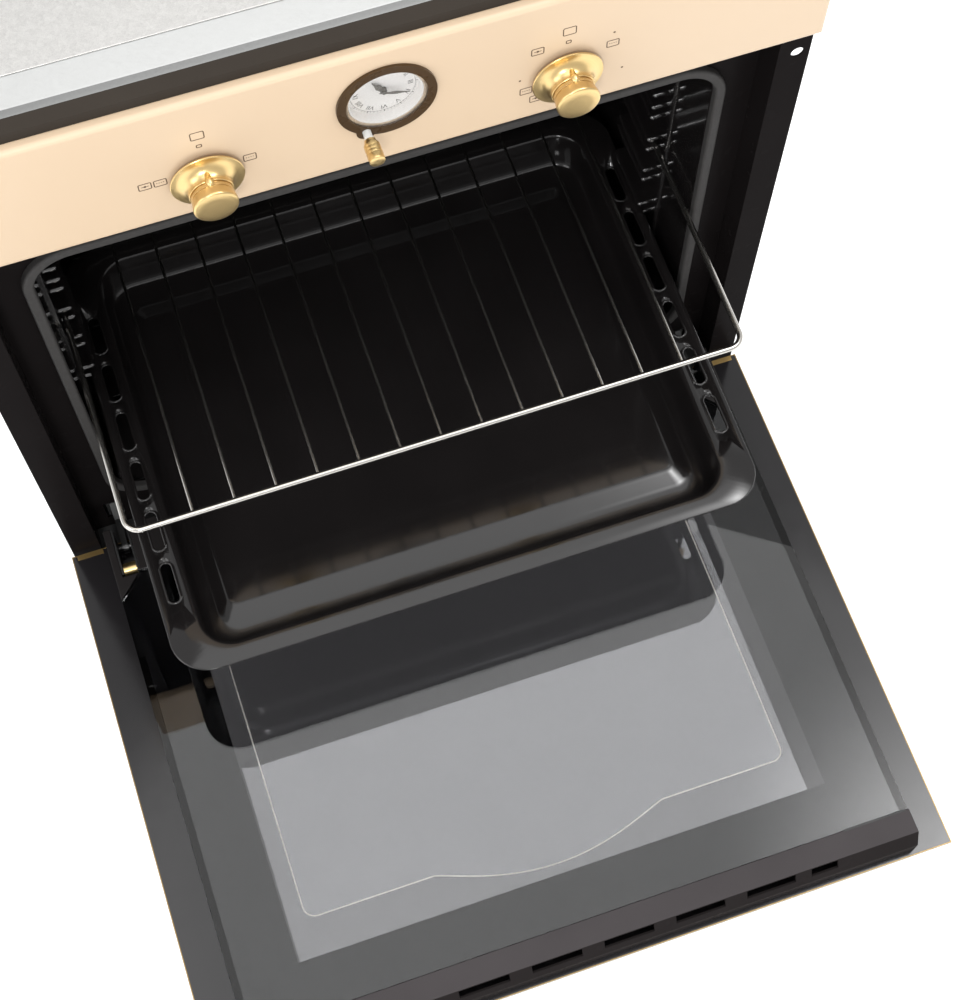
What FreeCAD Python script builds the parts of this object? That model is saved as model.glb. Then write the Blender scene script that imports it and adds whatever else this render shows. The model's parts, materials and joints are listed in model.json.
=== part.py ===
import FreeCAD, Part
import math
import os

V = FreeCAD.Vector

# Driving sizes, in millimetres.
# Frame: +Z up, front towards -Y, origin at the middle of the base's underside.
WIDTH = 595.0
HEIGHT = 595.0
BODY_IN = 17.3
FRONT_Y = -277.0
BODY_BACK = 545.0
SHEET = 1.2
GAP = 0.3
RUN = 0.05
CUT = 1.0

# Control panel.
PANEL_H = 109.0
PANEL_DROP = 8.0
PANEL_DEPTH = 7.4
PANEL_ROUND = 3.5
PANEL_RIM = 4.5
PANEL_LIP = 2.5

# Front frame: a stepped pressing with a flange, a recess for the door and an inner plate.
FLANGE_LAP = 2.2
FLANGE_W = 23.3
PLATE_DEPTH = 31.5
FRAME_FOOT = 2.0
RECESS_SPARE = 3.0
TOP_RETURN = 18.3
RAIL_BACK = 46.4
RAIL_SEAM = 0.5
RAIL_FALL = 1.0
RAIL_FALL_W = 6.0
SCREW_HOLE_R = 4.6
SCREW_IN = 9.3
SCREW_DROP = 26.5

# Baking space.
PLATE_W = 30.5
OPEN_LOW_Z = 65.0
OPEN_DROP = 51.0
OPEN_ROUND = 30.0
REAR_ROOM = 117.0
CAVITY_FLOOR_Z = 38.0
SEAL_W = 8.0
SEAL_T = 5.7
SEAL_ROUND = 2.0
WOOL_T = 18.0
WOOL_LOW_Z = 66.0
RIDGE_W = 13.5
RIDGE_H = 5.0
CHANNEL_H = 8.0
RIDGE_LEN = 52.0
RIDGE_STARTS = (94.0, 300.0)
TRAY_RISE = 92.5
RACK_RISE = 184.5
LEVEL_RISES = (TRAY_RISE, 142.0, RACK_RISE, 227.0, 255.5)
BEAD_R = 2.5
BEAD_Y = 83.0
BEAD_MARGIN = 63.0

# Wire rack.
RACK_PLAY = 6.0
RACK_FRONT = -93.0
RACK_LEN = 355.0
RACK_WIRE_R = 2.3
RACK_CORNER = 11.0
BAR_R = 1.2
BAR_COUNT = 13
BAR_MARGIN = 48.3
BAR_TIP = 1.0
WELD = 0.4

# Baking tray.
TRAY_PLAY = 8.0
TRAY_FRONT = -177.0
TRAY_LEN = 378.0
TRAY_CORNER = 30.0
TRAY_RIM_SIDE = 24.0
TRAY_RIM_END = 14.0
TRAY_DEPTH = 38.0
TRAY_SLOPE = 8.0
TRAY_SLOT_W = 9.0
TRAY_SLOT_LEN = 33.0
TRAY_SLOT_FIRST = 77.0
TRAY_SLOT_LAST = 78.0
TRAY_SLOT_COUNT = 6
TRAY_SLOT_IN = 13.0

# Door, drawn in its open position.
HINGE_Y = -2.5
HINGE_Z = 25.5
GLASS_T = 4.0
DOOR_FACE_Z = 15.7
DOOR_T = 37.3
DOOR_GAP = 4.0
DOOR_HEEL = 5.0
BOX_PLAY = 6.5
BOX_HEEL = 4.0
GLASS_HEEL = -38.0
GLASS_CHAMFER = 22.0
TRIM_W = 30.0
TRIM_SLOPE_W = 11.0
TRIM_SET = 4.0
TRIM_NOSE_Z = 36.0
TRIM_LAP = 1.0
TRIM_WALL = 2.0
VENT_LEN = 40.0
VENT_END_LEN = 22.0
VENT_MARGIN = 78.0
VENT_END_PITCH = 44.0
VENT_COUNT = 6
VENT_NEAR = 1.2
VENT_FAR = 11.2
LEDGE_W = 6.0
FOOT_W = 10.0

# Door hinges.
HINGE_IN = 13.5
PIN_R = 3.0
EYE_R = 5.5
ARM_T = 5.0
ARM_RISE = 16.5
ARM_BACK = 100.0
SLOT_HALF_W = 7.5
SLOT_END = -40.0
CHEEK_T = 1.5
HOUSING_END = -110.0
HOUSING_BASE = -12.0
ROLLER_R = 5.5
ROLLER_SET = 1.0
ROLLER_Y = -32.0
ROLLER_PIN_R = 2.0
SPRING_R = 4.5
SPRING_START = -46.0
SPRING_END = -104.0
RECEIVER_BACK = 110.0
RECEIVER_WALL = 3.0
FRAME_SLOT_MARGIN = 2.0

# Handle.
HANDLE_SET = 33.0
HANDLE_STAND = 38.0
HANDLE_R = 8.0
HANDLE_HALF_L = 232.0
HANDLE_NECK_R = 5.0
POST_X = 205.0
POST_R = 6.5
POST_FOOT_R = 11.0
POST_FOOT_T = 4.0

# Knobs.
KNOB_X = 116.5
KNOB_RISE = 35.0
KNOB_GAP = 3.3
KNOB_RIM_R = 23.5
KNOB_NECK_R = 13.2
KNOB_GRIP_R = 14.4
KNOB_NECK = 12.5
KNOB_END = 25.0
KNOB_RING = 2.0
KNOB_STEP = 1.0
KNOB_CROWN = 1.5
FLARE_STEPS = 6
POINTER_R = 2.6
POINTER_LOW = 3.0
POINTER_TOP = 4.0
SPINDLE_R = 3.0
SPINDLE_TIP = 19.0
SPINDLE_TAIL = 24.0
PANEL_HOLE_R = 5.0
PUSH = 3.0
COLLAR_R = 6.0
COLLAR_START = 12.0
COLLAR_LEN = 8.0

# Switch and gas valve behind the panel.
BLOCK_HALF_W = 25.0
BLOCK_BELOW = 25.0
BLOCK_ABOVE = 39.0
BLOCK_DEPTH = 54.0

# Clock and timer.
CLOCK_RISE = 61.0
BEZEL_R = 32.0
BEZEL_INNER_R = 26.0
BEZEL_T = 2.0
LENS_PLAY = 0.2
LENS_H = 2.4
LENS_WALL = 1.0
LENS_BEVEL_W = 2.0
LENS_BEVEL_H = 1.0
LENS_DOME = 0.1
DIAL_PLAY = 0.8
DIAL_T = 0.8
DIAL_SET = 7.0
DIAL_WALL = 0.8
DIAL_EDGE = 0.2
MOVEMENT_BACK = 32.0
MOVEMENT_EAR_R = 38.0
MOVEMENT_EAR_T = 2.0
HOUR_TUBE_R = 2.2
MINUTE_SHAFT_R = 1.25
HOUR_LIFT = 2.0
MINUTE_LIFT = 3.4
HOUR_STEM = 7.1
MINUTE_STEM = 11.1
HAND_T = 0.5
HOUR_LEN = 13.0
MINUTE_LEN = 17.0
HOUR_ANGLE = 122.0
MINUTE_ANGLE = -17.0
TIMER_X = -14.5
TIMER_RISE = 35.0
TIMER_STEM_R = 2.75
TIMER_CAP_R = 5.2
TIMER_CAP_START = 8.5
TIMER_CAP_END = 25.0
TIMER_TAIL = 14.0
TIMER_LOBE_R = 6.5
TIMER_BUSH_R = 6.0
TIMER_CAP_NECK = 1.4
TIMER_CAP_FLARE = 2.0
TIMER_CAP_CROWN = 0.6

# Heating, gas and electrical pieces.
SHELF_DROP = 23.0
FLOOR_PLATE_MARGIN = 1.5
BURNER_Z = 50.0
BURNER_R = 8.0
BURNER_FRONT = 110.0
BURNER_REAR = 68.0
BURNER_HALF_W = 116.5
BURNER_CORNER = 40.0
BURNER_STUB = 28.0
BURNER_PORT_R = 1.5
BURNER_PORTS = 9
LEG_R = 3.0
PIPE_R = 4.0
PIPE_BORE_R = 3.0
PIPE_BEND = 18.0
PIPE_REAR = 57.0
INLET_X = 222.0
INLET_DROP = 12.0
INLET_R = 10.48
INLET_BORE_R = 7.0
INLET_NECK_R = 9.4
INLET_NECK = 1.0
INLET_OUT = 22.0
INLET_NUT_R = 15.0
INLET_NUT_T = 10.0
FEED_Y = 36.0
GRILL_DROP = 17.0
GRILL_R = 3.5
GRILL_HALF_W = 170.0
GRILL_INNER = 70.0
GRILL_FRONT = 90.0
GRILL_REAR = 58.0
GRILL_BEND = 28.0
LAMP_X = -170.0
LAMP_DROP = 55.0
LAMP_R = 22.0
LAMP_LENS_DEPTH = 12.0
LAMP_CAN_DEPTH = 28.0
FAN_RISE = 175.0
FAN_R = 76.0
FAN_BLADES = 8
FAN_BLADE_T = 1.5
FAN_W = 10.0
FAN_REAR = 4.5
FAN_SHAFT_R = 4.0
FAN_COVER_R = 96.0
FAN_COVER_DEPTH = 19.0
FAN_HOLE_R = 6.0
FAN_HOLE_NEAR_R = 34.0
FAN_HOLE_NEAR_COUNT = 8
FAN_HOLE_FAR_R = 58.0
FAN_HOLE_FAR_COUNT = 14
MOTOR_R = 36.0
MOTOR_STAND = 1.8
MOTOR_LEN = 56.0
BLOWER_X = -60.0
BLOWER_Y = 260.0
BLOWER_R = 62.0
BLOWER_H = 60.0
BLOWER_WALL = 1.5
BLOWER_EYE_R = 34.0
BLOWER_WHEEL_R = 46.0
BLOWER_WHEEL_H = 40.0
BLOWER_WHEEL_LIFT = 3.5
BLOWER_BLADES = 16
BLOWER_BLADE_W = 8.2
BLOWER_SHAFT_R = 3.0
BLOWER_MOTOR_R = 26.0
BLOWER_MOTOR_H = 30.0
BLOWER_ARMS = 3
PROBE_R = 2.5
PROBE_X = 60.0
PROBE_HIGH_Z = 58.0
TERMINAL_X = -190.0
TERMINAL_DROP = 75.0
TERMINAL_W = 62.0
TERMINAL_H = 38.0
TERMINAL_D = 30.0
GLAND_R = 9.0
GLAND_BORE_R = 4.0
GLAND_OUT = 14.0
LOUVRE_LEN = 60.0
LOUVRE_H = 5.0
LOUVRE_PITCH = 14.0
LOUVRE_COUNT = 6
FLOOR_VENT_PITCH = 35.0
FLOOR_VENT_LEN = 30.0

# Places that follow from the sizes above.
PANEL_TOP_Z = HEIGHT - PANEL_DROP
PANEL_LOW_Z = PANEL_TOP_Z - PANEL_H
FLANGE_HALF_W = WIDTH / 2 - FLANGE_LAP
RECESS_HALF_W = FLANGE_HALF_W - FLANGE_W
BODY_HALF_W = FLANGE_HALF_W - BODY_IN
CAVITY_HALF_W = RECESS_HALF_W - PLATE_W
SCREW_X = FLANGE_HALF_W - SCREW_IN
SCREW_Z = PANEL_LOW_Z - SCREW_DROP
OPEN_TOP_Z = PANEL_LOW_Z - OPEN_DROP
CAVITY_BACK = BODY_BACK - REAR_ROOM
RIDGE_TIP = CAVITY_HALF_W - RIDGE_W
LEVELS = tuple(OPEN_LOW_Z + rise for rise in LEVEL_RISES)
TRAY_LEVEL = OPEN_LOW_Z + TRAY_RISE
RACK_LEVEL = OPEN_LOW_Z + RACK_RISE
BEAD_LOW_Z = OPEN_LOW_Z + BEAD_MARGIN
BEAD_TOP_Z = OPEN_TOP_Z - BEAD_MARGIN
RACK_HALF_W = CAVITY_HALF_W - RACK_PLAY
BAR_PITCH = 2 * (RACK_HALF_W - BAR_MARGIN) / (BAR_COUNT - 1)
TRAY_HALF_W = CAVITY_HALF_W - TRAY_PLAY
TRAY_SLOT_PITCH = (TRAY_LEN - TRAY_SLOT_FIRST - TRAY_SLOT_LAST) / (TRAY_SLOT_COUNT - 1)
DOOR_TIP = HINGE_Z + HINGE_Y + DOOR_GAP - PANEL_LOW_Z
BOX_HALF_W = RECESS_HALF_W - BOX_PLAY
TRIM_START = DOOR_TIP + TRIM_W
TRIM_BEND = DOOR_TIP + TRIM_SLOPE_W
TRIM_END = DOOR_TIP + TRIM_SET
TRIM_HALF_W = BOX_HALF_W + TRIM_LAP
VENT_END_X = TRIM_HALF_W - VENT_MARGIN
VENT_PITCH = 2 * (VENT_END_X - VENT_END_PITCH) / (VENT_COUNT - 1)
HINGE_X = BOX_HALF_W - HINGE_IN
HANDLE_Y = DOOR_TIP + HANDLE_SET
KNOB_Z = PANEL_LOW_Z + KNOB_RISE
BLOCK_LOW_Z = KNOB_Z - BLOCK_BELOW
BLOCK_TOP_Z = KNOB_Z + BLOCK_ABOVE
CLOCK_Z = PANEL_LOW_Z + CLOCK_RISE
LENS_R = BEZEL_INNER_R - LENS_PLAY
DIAL_R = LENS_R - LENS_WALL - DIAL_PLAY
HOUR_FACE = DIAL_SET - HOUR_LIFT
HOUR_TAIL = DIAL_SET + HOUR_STEM
MINUTE_FACE = DIAL_SET - MINUTE_LIFT
MINUTE_TAIL = DIAL_SET + MINUTE_STEM
TIMER_Z = PANEL_LOW_Z + TIMER_RISE
SHELF_Z = PANEL_LOW_Z - SHELF_DROP
BURNER_BACK = CAVITY_BACK - BURNER_REAR
BURNER_STUB_END = CAVITY_BACK + BURNER_STUB
PIPE_RISE_Y = CAVITY_BACK + PIPE_REAR
INLET_Z = BLOCK_TOP_Z - INLET_DROP
GRILL_Z = OPEN_TOP_Z - GRILL_DROP
GRILL_BACK = CAVITY_BACK - GRILL_REAR
LAMP_Z = OPEN_TOP_Z - LAMP_DROP
FAN_Z = OPEN_LOW_Z + FAN_RISE
FAN_END = CAVITY_BACK - FAN_REAR
FAN_START = FAN_END - FAN_W
FAN_COVER_FACE = CAVITY_BACK - FAN_COVER_DEPTH
MOTOR_FRONT = CAVITY_BACK + SHEET + WOOL_T + MOTOR_STAND
MOTOR_BACK = MOTOR_FRONT + MOTOR_LEN
TERMINAL_Z = HEIGHT - TERMINAL_DROP
FLANGE_BACK = PANEL_DEPTH + SHEET
PLATE_BACK = PLATE_DEPTH + SHEET
DOOR_TOP_Z = HINGE_Z + HINGE_Y - DOOR_TIP
INNER_Z = DOOR_FACE_Z + DOOR_T
GLASS_TOP_Z = DOOR_FACE_Z + GLASS_T
WALL_OUT = CAVITY_HALF_W + SHEET
SIDE_IN = BODY_HALF_W - SHEET
BACK_IN = BODY_BACK - SHEET
TOP_LOW_Z = HEIGHT - SHEET


def depth(value):
    """Y of a place that lies this far behind the control panel's face."""
    return FRONT_Y + value


def block(x0, x1, y0, y1, z0, z1):
    """Box between two corners, with Y counted back from the panel's face."""
    size = V(x1 - x0, y1 - y0, z1 - z0)
    return Part.makeBox(size.x, size.y, size.z, V(x0, depth(y0), z0))


def rod_y(x, z, radius, y0, y1):
    """Cylinder along Y."""
    return Part.makeCylinder(radius, y1 - y0, V(x, depth(y0), z), V(0, 1, 0))


def rod_x(x0, x1, y, z, radius):
    """Cylinder along X."""
    return Part.makeCylinder(radius, x1 - x0, V(x0, depth(y), z), V(1, 0, 0))


def rod_z(x, y, radius, z0, z1):
    """Cylinder along Z."""
    return Part.makeCylinder(radius, z1 - z0, V(x, depth(y), z0), V(0, 0, 1))


def prism(points, direction):
    """Solid swept from a closed outline along a vector."""
    return Part.Face(Part.makePolygon(points + points[:1])).extrude(direction)


def fuse(shapes):
    """One clean solid from overlapping or touching shapes."""
    whole = shapes[0]
    if len(shapes) > 1:
        whole = shapes[0].multiFuse(shapes[1:])
    return whole.removeSplitter()


def mirror_x(shape):
    """Copy mirrored across the middle plane."""
    return shape.mirror(V(0, 0, 0), V(1, 0, 0))


def both_sides(shape):
    """A piece and its mirrored twin, kept as separate solids."""
    return Part.makeCompound([shape, mirror_x(shape)])


def round_outline(half_w, low, high, radius, place):
    """Closed wire of a rectangle with round corners; place turns flat points into 3-D."""
    turn = math.pi / 2
    corners = ((half_w, high, 0), (-half_w, high, 1), (-half_w, low, 2), (half_w, low, 3))
    edges = []
    last = None
    first = None
    for u, v, quarter in corners:
        cu = u - math.copysign(radius, u)
        cv = v - radius if v == high else v + radius
        angles = [quarter * turn, quarter * turn + turn / 2, quarter * turn + turn]
        arc = [place(cu + radius * math.cos(a), cv + radius * math.sin(a)) for a in angles]
        if last is not None:
            edges.append(Part.LineSegment(last, arc[0]).toShape())
        first = first or arc[0]
        edges.append(Part.Arc(*arc).toShape())
        last = arc[2]
    edges.append(Part.LineSegment(last, first).toShape())
    return Part.Wire(edges)


def upright(y):
    """Maps outline points to a plane that faces the front, at a depth."""
    return lambda u, v: V(u, depth(y), v)


def level(z):
    """Maps outline points to a horizontal plane."""
    return lambda u, v: V(u, depth(v), z)


def bent_path(points, radius):
    """Wire of straight runs joined by arcs of one radius."""
    edges = []
    start = points[0]
    for before, corner, after in zip(points, points[1:], points[2:]):
        into = (corner - before).normalize()
        out = (after - corner).normalize()
        turn = math.pi - into.getAngle(out * -1)
        reach = radius * math.tan(turn / 2)
        a = corner - into * reach
        b = corner + out * reach
        bisector = (out - into).normalize()
        middle = corner + bisector * (radius / math.cos(turn / 2) - radius)
        edges.append(Part.LineSegment(start, a).toShape())
        edges.append(Part.Arc(a, middle, b).toShape())
        start = b
    edges.append(Part.LineSegment(start, points[-1]).toShape())
    return Part.Wire(edges)


def sweep(path, radius):
    """Round bar along a path."""
    edge = path.OrderedEdges[0]
    start = edge.valueAt(edge.FirstParameter)
    tangent = edge.tangentAt(edge.FirstParameter)
    ring = Part.Wire(Part.makeCircle(radius, start, tangent))
    return path.makePipeShell([ring], True, False)


def pipe(points, bend, radius, bore):
    """Hollow pipe along straight runs and bends."""
    path = bent_path(points, bend)
    return sweep(path, radius).cut(sweep(path, bore))


def save(name, shape):
    """Write one sub-part."""
    shape.exportStep("parts/" + name + ".step")


def make_base_pan():
    """Floor sheet of the casing with a turned-up front lip and air slots."""
    sheet = block(-SIDE_IN, SIDE_IN, PLATE_BACK, BACK_IN, 0, SHEET)
    lip = block(-RECESS_HALF_W, RECESS_HALF_W, PLATE_BACK, PLATE_BACK + SHEET, 0, HINGE_Z - EYE_R * 2)
    slots = []
    for i in range(LOUVRE_COUNT):
        y = BURNER_FRONT + 2 * i * LOUVRE_PITCH
        slots.append(block(-LOUVRE_LEN, LOUVRE_LEN, y, y + LOUVRE_H, -CUT, SHEET + CUT))
    return fuse([sheet, lip]).cut(Part.makeCompound(slots))


def make_side_panel():
    """Right-hand side sheet of the casing with cooling louvres."""
    sheet = block(SIDE_IN, BODY_HALF_W, FLANGE_BACK, BODY_BACK, 0, TOP_LOW_Z)
    slots = []
    for i in range(LOUVRE_COUNT):
        z = SHELF_Z + 2 * LOUVRE_PITCH + i * LOUVRE_PITCH
        back = BACK_IN - LOUVRE_LEN
        slots.append(block(SIDE_IN - CUT, BODY_HALF_W + CUT, back - LOUVRE_LEN, back, z, z + LOUVRE_H))
    return sheet.cut(Part.makeCompound(slots))


def make_back_panel():
    """Rear sheet of the casing with louvres and holes for the gas and mains entries."""
    sheet = block(-SIDE_IN, SIDE_IN, BACK_IN, BODY_BACK, 0, TOP_LOW_Z)
    cuts = [rod_y(INLET_X, INLET_Z, INLET_NECK_R + GAP, BACK_IN - CUT, BODY_BACK + CUT)]
    cuts.append(rod_y(TERMINAL_X, TERMINAL_Z, GLAND_R + GAP, BACK_IN - CUT, BODY_BACK + CUT))
    for i in range(2 * LOUVRE_COUNT):
        z = FAN_Z - LOUVRE_COUNT * LOUVRE_PITCH + i * LOUVRE_PITCH
        cuts.append(block(-LOUVRE_LEN, LOUVRE_LEN, BACK_IN - CUT, BODY_BACK + CUT, z, z + LOUVRE_H))
    return sheet.cut(Part.makeCompound(cuts))


def make_top_cover():
    """Galvanised lid behind the front rail."""
    return block(-BODY_HALF_W, BODY_HALF_W, RAIL_BACK + RAIL_SEAM, BODY_BACK, TOP_LOW_Z, HEIGHT)


def make_top_front_rail():
    """Smooth cross rail behind the front frame, falling to the front, with a stiffening flange below."""
    flat = block(-BODY_HALF_W, BODY_HALF_W, TOP_RETURN, RAIL_BACK, TOP_LOW_Z, HEIGHT)
    lip = block(-SIDE_IN, SIDE_IN, RAIL_BACK - SHEET, RAIL_BACK, TOP_LOW_Z - RAIL_BACK / 2, TOP_LOW_Z)
    fall = [(TOP_RETURN, HEIGHT - RAIL_FALL), (TOP_RETURN + RAIL_FALL_W, HEIGHT), (TOP_RETURN, HEIGHT)]
    slope = prism([V(-BODY_HALF_W, depth(y), z) for y, z in fall], V(2 * BODY_HALF_W, 0, 0))
    return fuse([flat, lip]).cut(slope)


def make_front_frame():
    """Stepped front pressing: flange strips, door recess, inner plate and top return."""
    out_w = RECESS_HALF_W + SHEET
    recess_top = DOOR_TOP_Z + RECESS_SPARE
    web_top = recess_top + SHEET
    strip = block(RECESS_HALF_W, FLANGE_HALF_W, PANEL_DEPTH, FLANGE_BACK, FRAME_FOOT, web_top)
    web = block(RECESS_HALF_W, out_w, PANEL_DEPTH, PLATE_BACK, FRAME_FOOT, web_top)
    roof = block(-out_w, out_w, PANEL_DEPTH, PLATE_BACK, recess_top, web_top)
    plate = block(-out_w, out_w, PLATE_DEPTH, PLATE_BACK, FRAME_FOOT, web_top)
    fascia = block(-FLANGE_HALF_W, FLANGE_HALF_W, PANEL_DEPTH, FLANGE_BACK, recess_top, HEIGHT)
    lid = block(-FLANGE_HALF_W, FLANGE_HALF_W, PANEL_DEPTH, TOP_RETURN, TOP_LOW_Z, HEIGHT)
    frame = fuse([strip, mirror_x(strip), web, mirror_x(web), roof, plate, fascia, lid])
    mouth = round_outline(CAVITY_HALF_W, OPEN_LOW_Z, OPEN_TOP_Z, OPEN_ROUND, upright(PLATE_DEPTH - CUT))
    cuts = [Part.Face(mouth).extrude(V(0, SHEET + 2 * CUT, 0))]
    for side in (-1, 1):
        cuts.append(rod_y(side * SCREW_X, SCREW_Z, SCREW_HOLE_R, PANEL_DEPTH - CUT, FLANGE_BACK + CUT))
        x = side * HINGE_X
        low = HINGE_Z - EYE_R - FRAME_SLOT_MARGIN
        high = HINGE_Z + ARM_RISE + FRAME_SLOT_MARGIN
        cuts.append(block(x - SLOT_HALF_W, x + SLOT_HALF_W, PLATE_DEPTH - CUT, PLATE_BACK + CUT, low, high))
    cuts.append(rod_y(-KNOB_X, KNOB_Z, PANEL_HOLE_R, PANEL_DEPTH - CUT, FLANGE_BACK + CUT))
    cuts.append(rod_y(KNOB_X, KNOB_Z, COLLAR_R + CUT, PANEL_DEPTH - CUT, FLANGE_BACK + CUT))
    cuts.append(rod_y(0, CLOCK_Z, DIAL_R + GAP, PANEL_DEPTH - CUT, FLANGE_BACK + CUT))
    cuts.append(rod_y(TIMER_X, TIMER_Z, TIMER_STEM_R + GAP, PANEL_DEPTH - CUT, FLANGE_BACK + CUT))
    return frame.cut(Part.makeCompound(cuts))


def make_control_panel():
    """Painted fascia, hollow at the back, with holes for the knobs, the clock and the timer."""
    shell = block(-WIDTH / 2, WIDTH / 2, 0, PANEL_DEPTH, PANEL_LOW_Z - PANEL_LIP, PANEL_TOP_Z)
    front = [e for e in shell.Edges if abs(e.CenterOfMass.y - FRONT_Y) < GAP]
    shell = shell.makeFillet(PANEL_ROUND, front)
    half = WIDTH / 2 - PANEL_RIM
    low = PANEL_LOW_Z - PANEL_LIP + PANEL_RIM
    hollow = block(-half, half, SHEET, PANEL_DEPTH + CUT, low, PANEL_TOP_Z - PANEL_RIM)
    cuts = [hollow]
    for x in (-KNOB_X, KNOB_X):
        cuts.append(rod_y(x, KNOB_Z, PANEL_HOLE_R, -CUT, PANEL_DEPTH))
    cuts.append(rod_y(0, CLOCK_Z, DIAL_R + GAP, -CUT, PANEL_DEPTH))
    cuts.append(rod_y(TIMER_X, TIMER_Z, TIMER_STEM_R + GAP, -CUT, PANEL_DEPTH))
    return shell.cut(Part.makeCompound(cuts))


def make_cavity_wrapper():
    """Roof, rear wall and bottom of the baking space."""
    roof = block(-WALL_OUT, WALL_OUT, PLATE_BACK, CAVITY_BACK + SHEET, OPEN_TOP_Z, OPEN_TOP_Z + SHEET)
    low = CAVITY_FLOOR_Z - SHEET
    bottom = block(-WALL_OUT, WALL_OUT, PLATE_BACK, CAVITY_BACK + SHEET, low, CAVITY_FLOOR_Z)
    back = block(-WALL_OUT, WALL_OUT, CAVITY_BACK, CAVITY_BACK + SHEET, low, OPEN_TOP_Z + SHEET)
    holes = [rod_y(BURNER_HALF_W, BURNER_Z, BURNER_R + GAP, CAVITY_BACK - CUT, CAVITY_BACK + SHEET + CUT)]
    holes.append(rod_y(0, FAN_Z, FAN_SHAFT_R + CUT, CAVITY_BACK - CUT, CAVITY_BACK + SHEET + CUT))
    return fuse([roof, bottom, back]).cut(Part.makeCompound(holes))


def ridge(y0, z):
    """Pressed runner on the right-hand wall, round at its tip and at its ends."""
    half = RIDGE_H / 2
    bar = block(RIDGE_TIP + half, CAVITY_HALF_W, y0, y0 + RIDGE_LEN, z - half, z + half)
    nose = Part.makeCylinder(half, RIDGE_LEN, V(RIDGE_TIP + half, depth(y0), z), V(0, 1, 0))
    run = CAVITY_HALF_W - RIDGE_TIP - half
    shapes = [bar, nose]
    for y in (y0, y0 + RIDGE_LEN):
        shapes.append(Part.makeCylinder(half, run, V(RIDGE_TIP + half, depth(y), z), V(1, 0, 0)))
        shapes.append(Part.makeSphere(half, V(RIDGE_TIP + half, depth(y), z)))
    return fuse(shapes)


def make_cavity_wall():
    """Right-hand wall with pairs of shelf runners and an upright bead."""
    sheet = block(CAVITY_HALF_W, WALL_OUT, PLATE_BACK, CAVITY_BACK, CAVITY_FLOOR_Z, OPEN_TOP_Z)
    shapes = [sheet]
    offset = (CHANNEL_H + RIDGE_H) / 2
    for z in LEVELS:
        for y in RIDGE_STARTS:
            shapes.append(ridge(y, z + offset))
            shapes.append(ridge(y, z - offset))
    bead = rod_z(CAVITY_HALF_W, BEAD_Y, BEAD_R, BEAD_LOW_Z, BEAD_TOP_Z)
    shapes.append(bead.common(block(0, WALL_OUT, 0, CAVITY_BACK, 0, HEIGHT)))
    return fuse(shapes)


def make_floor_plate():
    """Loose plate over the burner, standing on its turned-down edges."""
    half = CAVITY_HALF_W - FLOOR_PLATE_MARGIN
    y0 = PLATE_BACK + FLOOR_PLATE_MARGIN
    y1 = CAVITY_BACK - FLOOR_PLATE_MARGIN
    low = OPEN_LOW_Z - SHEET - CUT
    outer = block(-half, half, y0, y1, CAVITY_FLOOR_Z, OPEN_LOW_Z)
    inner = block(-half + SHEET, half - SHEET, y0 + SHEET, y1 - SHEET, 0, OPEN_LOW_Z - SHEET)
    hole = rod_y(BURNER_HALF_W, BURNER_Z, BURNER_R + GAP, y1 - SHEET - CUT, y1 + CUT)
    vents = []
    for side in (-1, 1):
        for i in range(LOUVRE_COUNT):
            y = BURNER_FRONT + i * FLOOR_VENT_PITCH
            x0 = side * (half - FLOOR_VENT_LEN) - FLOOR_VENT_LEN / 2
            vents.append(block(x0, x0 + FLOOR_VENT_LEN, y, y + LOUVRE_H, low, OPEN_LOW_Z + CUT))
    return outer.cut(Part.makeCompound([inner, hole] + vents))


def make_insulation_blanket():
    """Mineral wool over the sides, top and back of the baking space."""
    half = WALL_OUT + WOOL_T
    wall_back = CAVITY_BACK + SHEET
    top = OPEN_TOP_Z + SHEET
    outer = block(-half, half, PLATE_BACK, wall_back + WOOL_T, WOOL_LOW_Z, top + WOOL_T)
    inner = block(-WALL_OUT, WALL_OUT, PLATE_BACK - CUT, wall_back, WOOL_LOW_Z - CUT, top)
    cuts = [inner]
    back = wall_back + WOOL_T + CUT
    cuts.append(rod_y(0, FAN_Z, FAN_SHAFT_R + CUT, wall_back - CUT, back))
    cuts.append(rod_y(LAMP_X, LAMP_Z, LAMP_R + GAP, wall_back - CUT, back))
    return outer.cut(Part.makeCompound(cuts))


def make_door_seal():
    """Rubber ring round the mouth of the baking space."""
    place = upright(PLATE_DEPTH - SEAL_T)
    outline = round_outline(
        CAVITY_HALF_W + SEAL_W, OPEN_LOW_Z - SEAL_W, OPEN_TOP_Z + SEAL_W, OPEN_ROUND + SEAL_W, place)
    mouth = round_outline(CAVITY_HALF_W, OPEN_LOW_Z, OPEN_TOP_Z, OPEN_ROUND, place)
    ring = Part.Face(outline).extrude(V(0, SEAL_T, 0)).cut(Part.Face(mouth).extrude(V(0, SEAL_T, 0)))
    front = [e for e in ring.Edges if e.BoundBox.YMax < depth(PLATE_DEPTH - SEAL_T) + GAP]
    return ring.makeFillet(SEAL_ROUND, front)


def make_wire_rack():
    """Chromed rack: a rounded frame of thick wire with thin bars welded under it."""
    z = RACK_LEVEL - CHANNEL_H / 2 + RACK_WIRE_R + GAP
    back = RACK_FRONT + RACK_LEN
    wire = round_outline(RACK_HALF_W, RACK_FRONT, back, RACK_CORNER, level(z))
    shapes = [sweep(wire, RACK_WIRE_R)]
    bar_z = z - RACK_WIRE_R - BAR_R + WELD
    first = -BAR_PITCH * (BAR_COUNT - 1) / 2
    for i in range(BAR_COUNT):
        shapes.append(rod_y(first + i * BAR_PITCH, bar_z, BAR_R, RACK_FRONT - BAR_TIP, back + BAR_TIP))
    return fuse(shapes)


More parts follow.
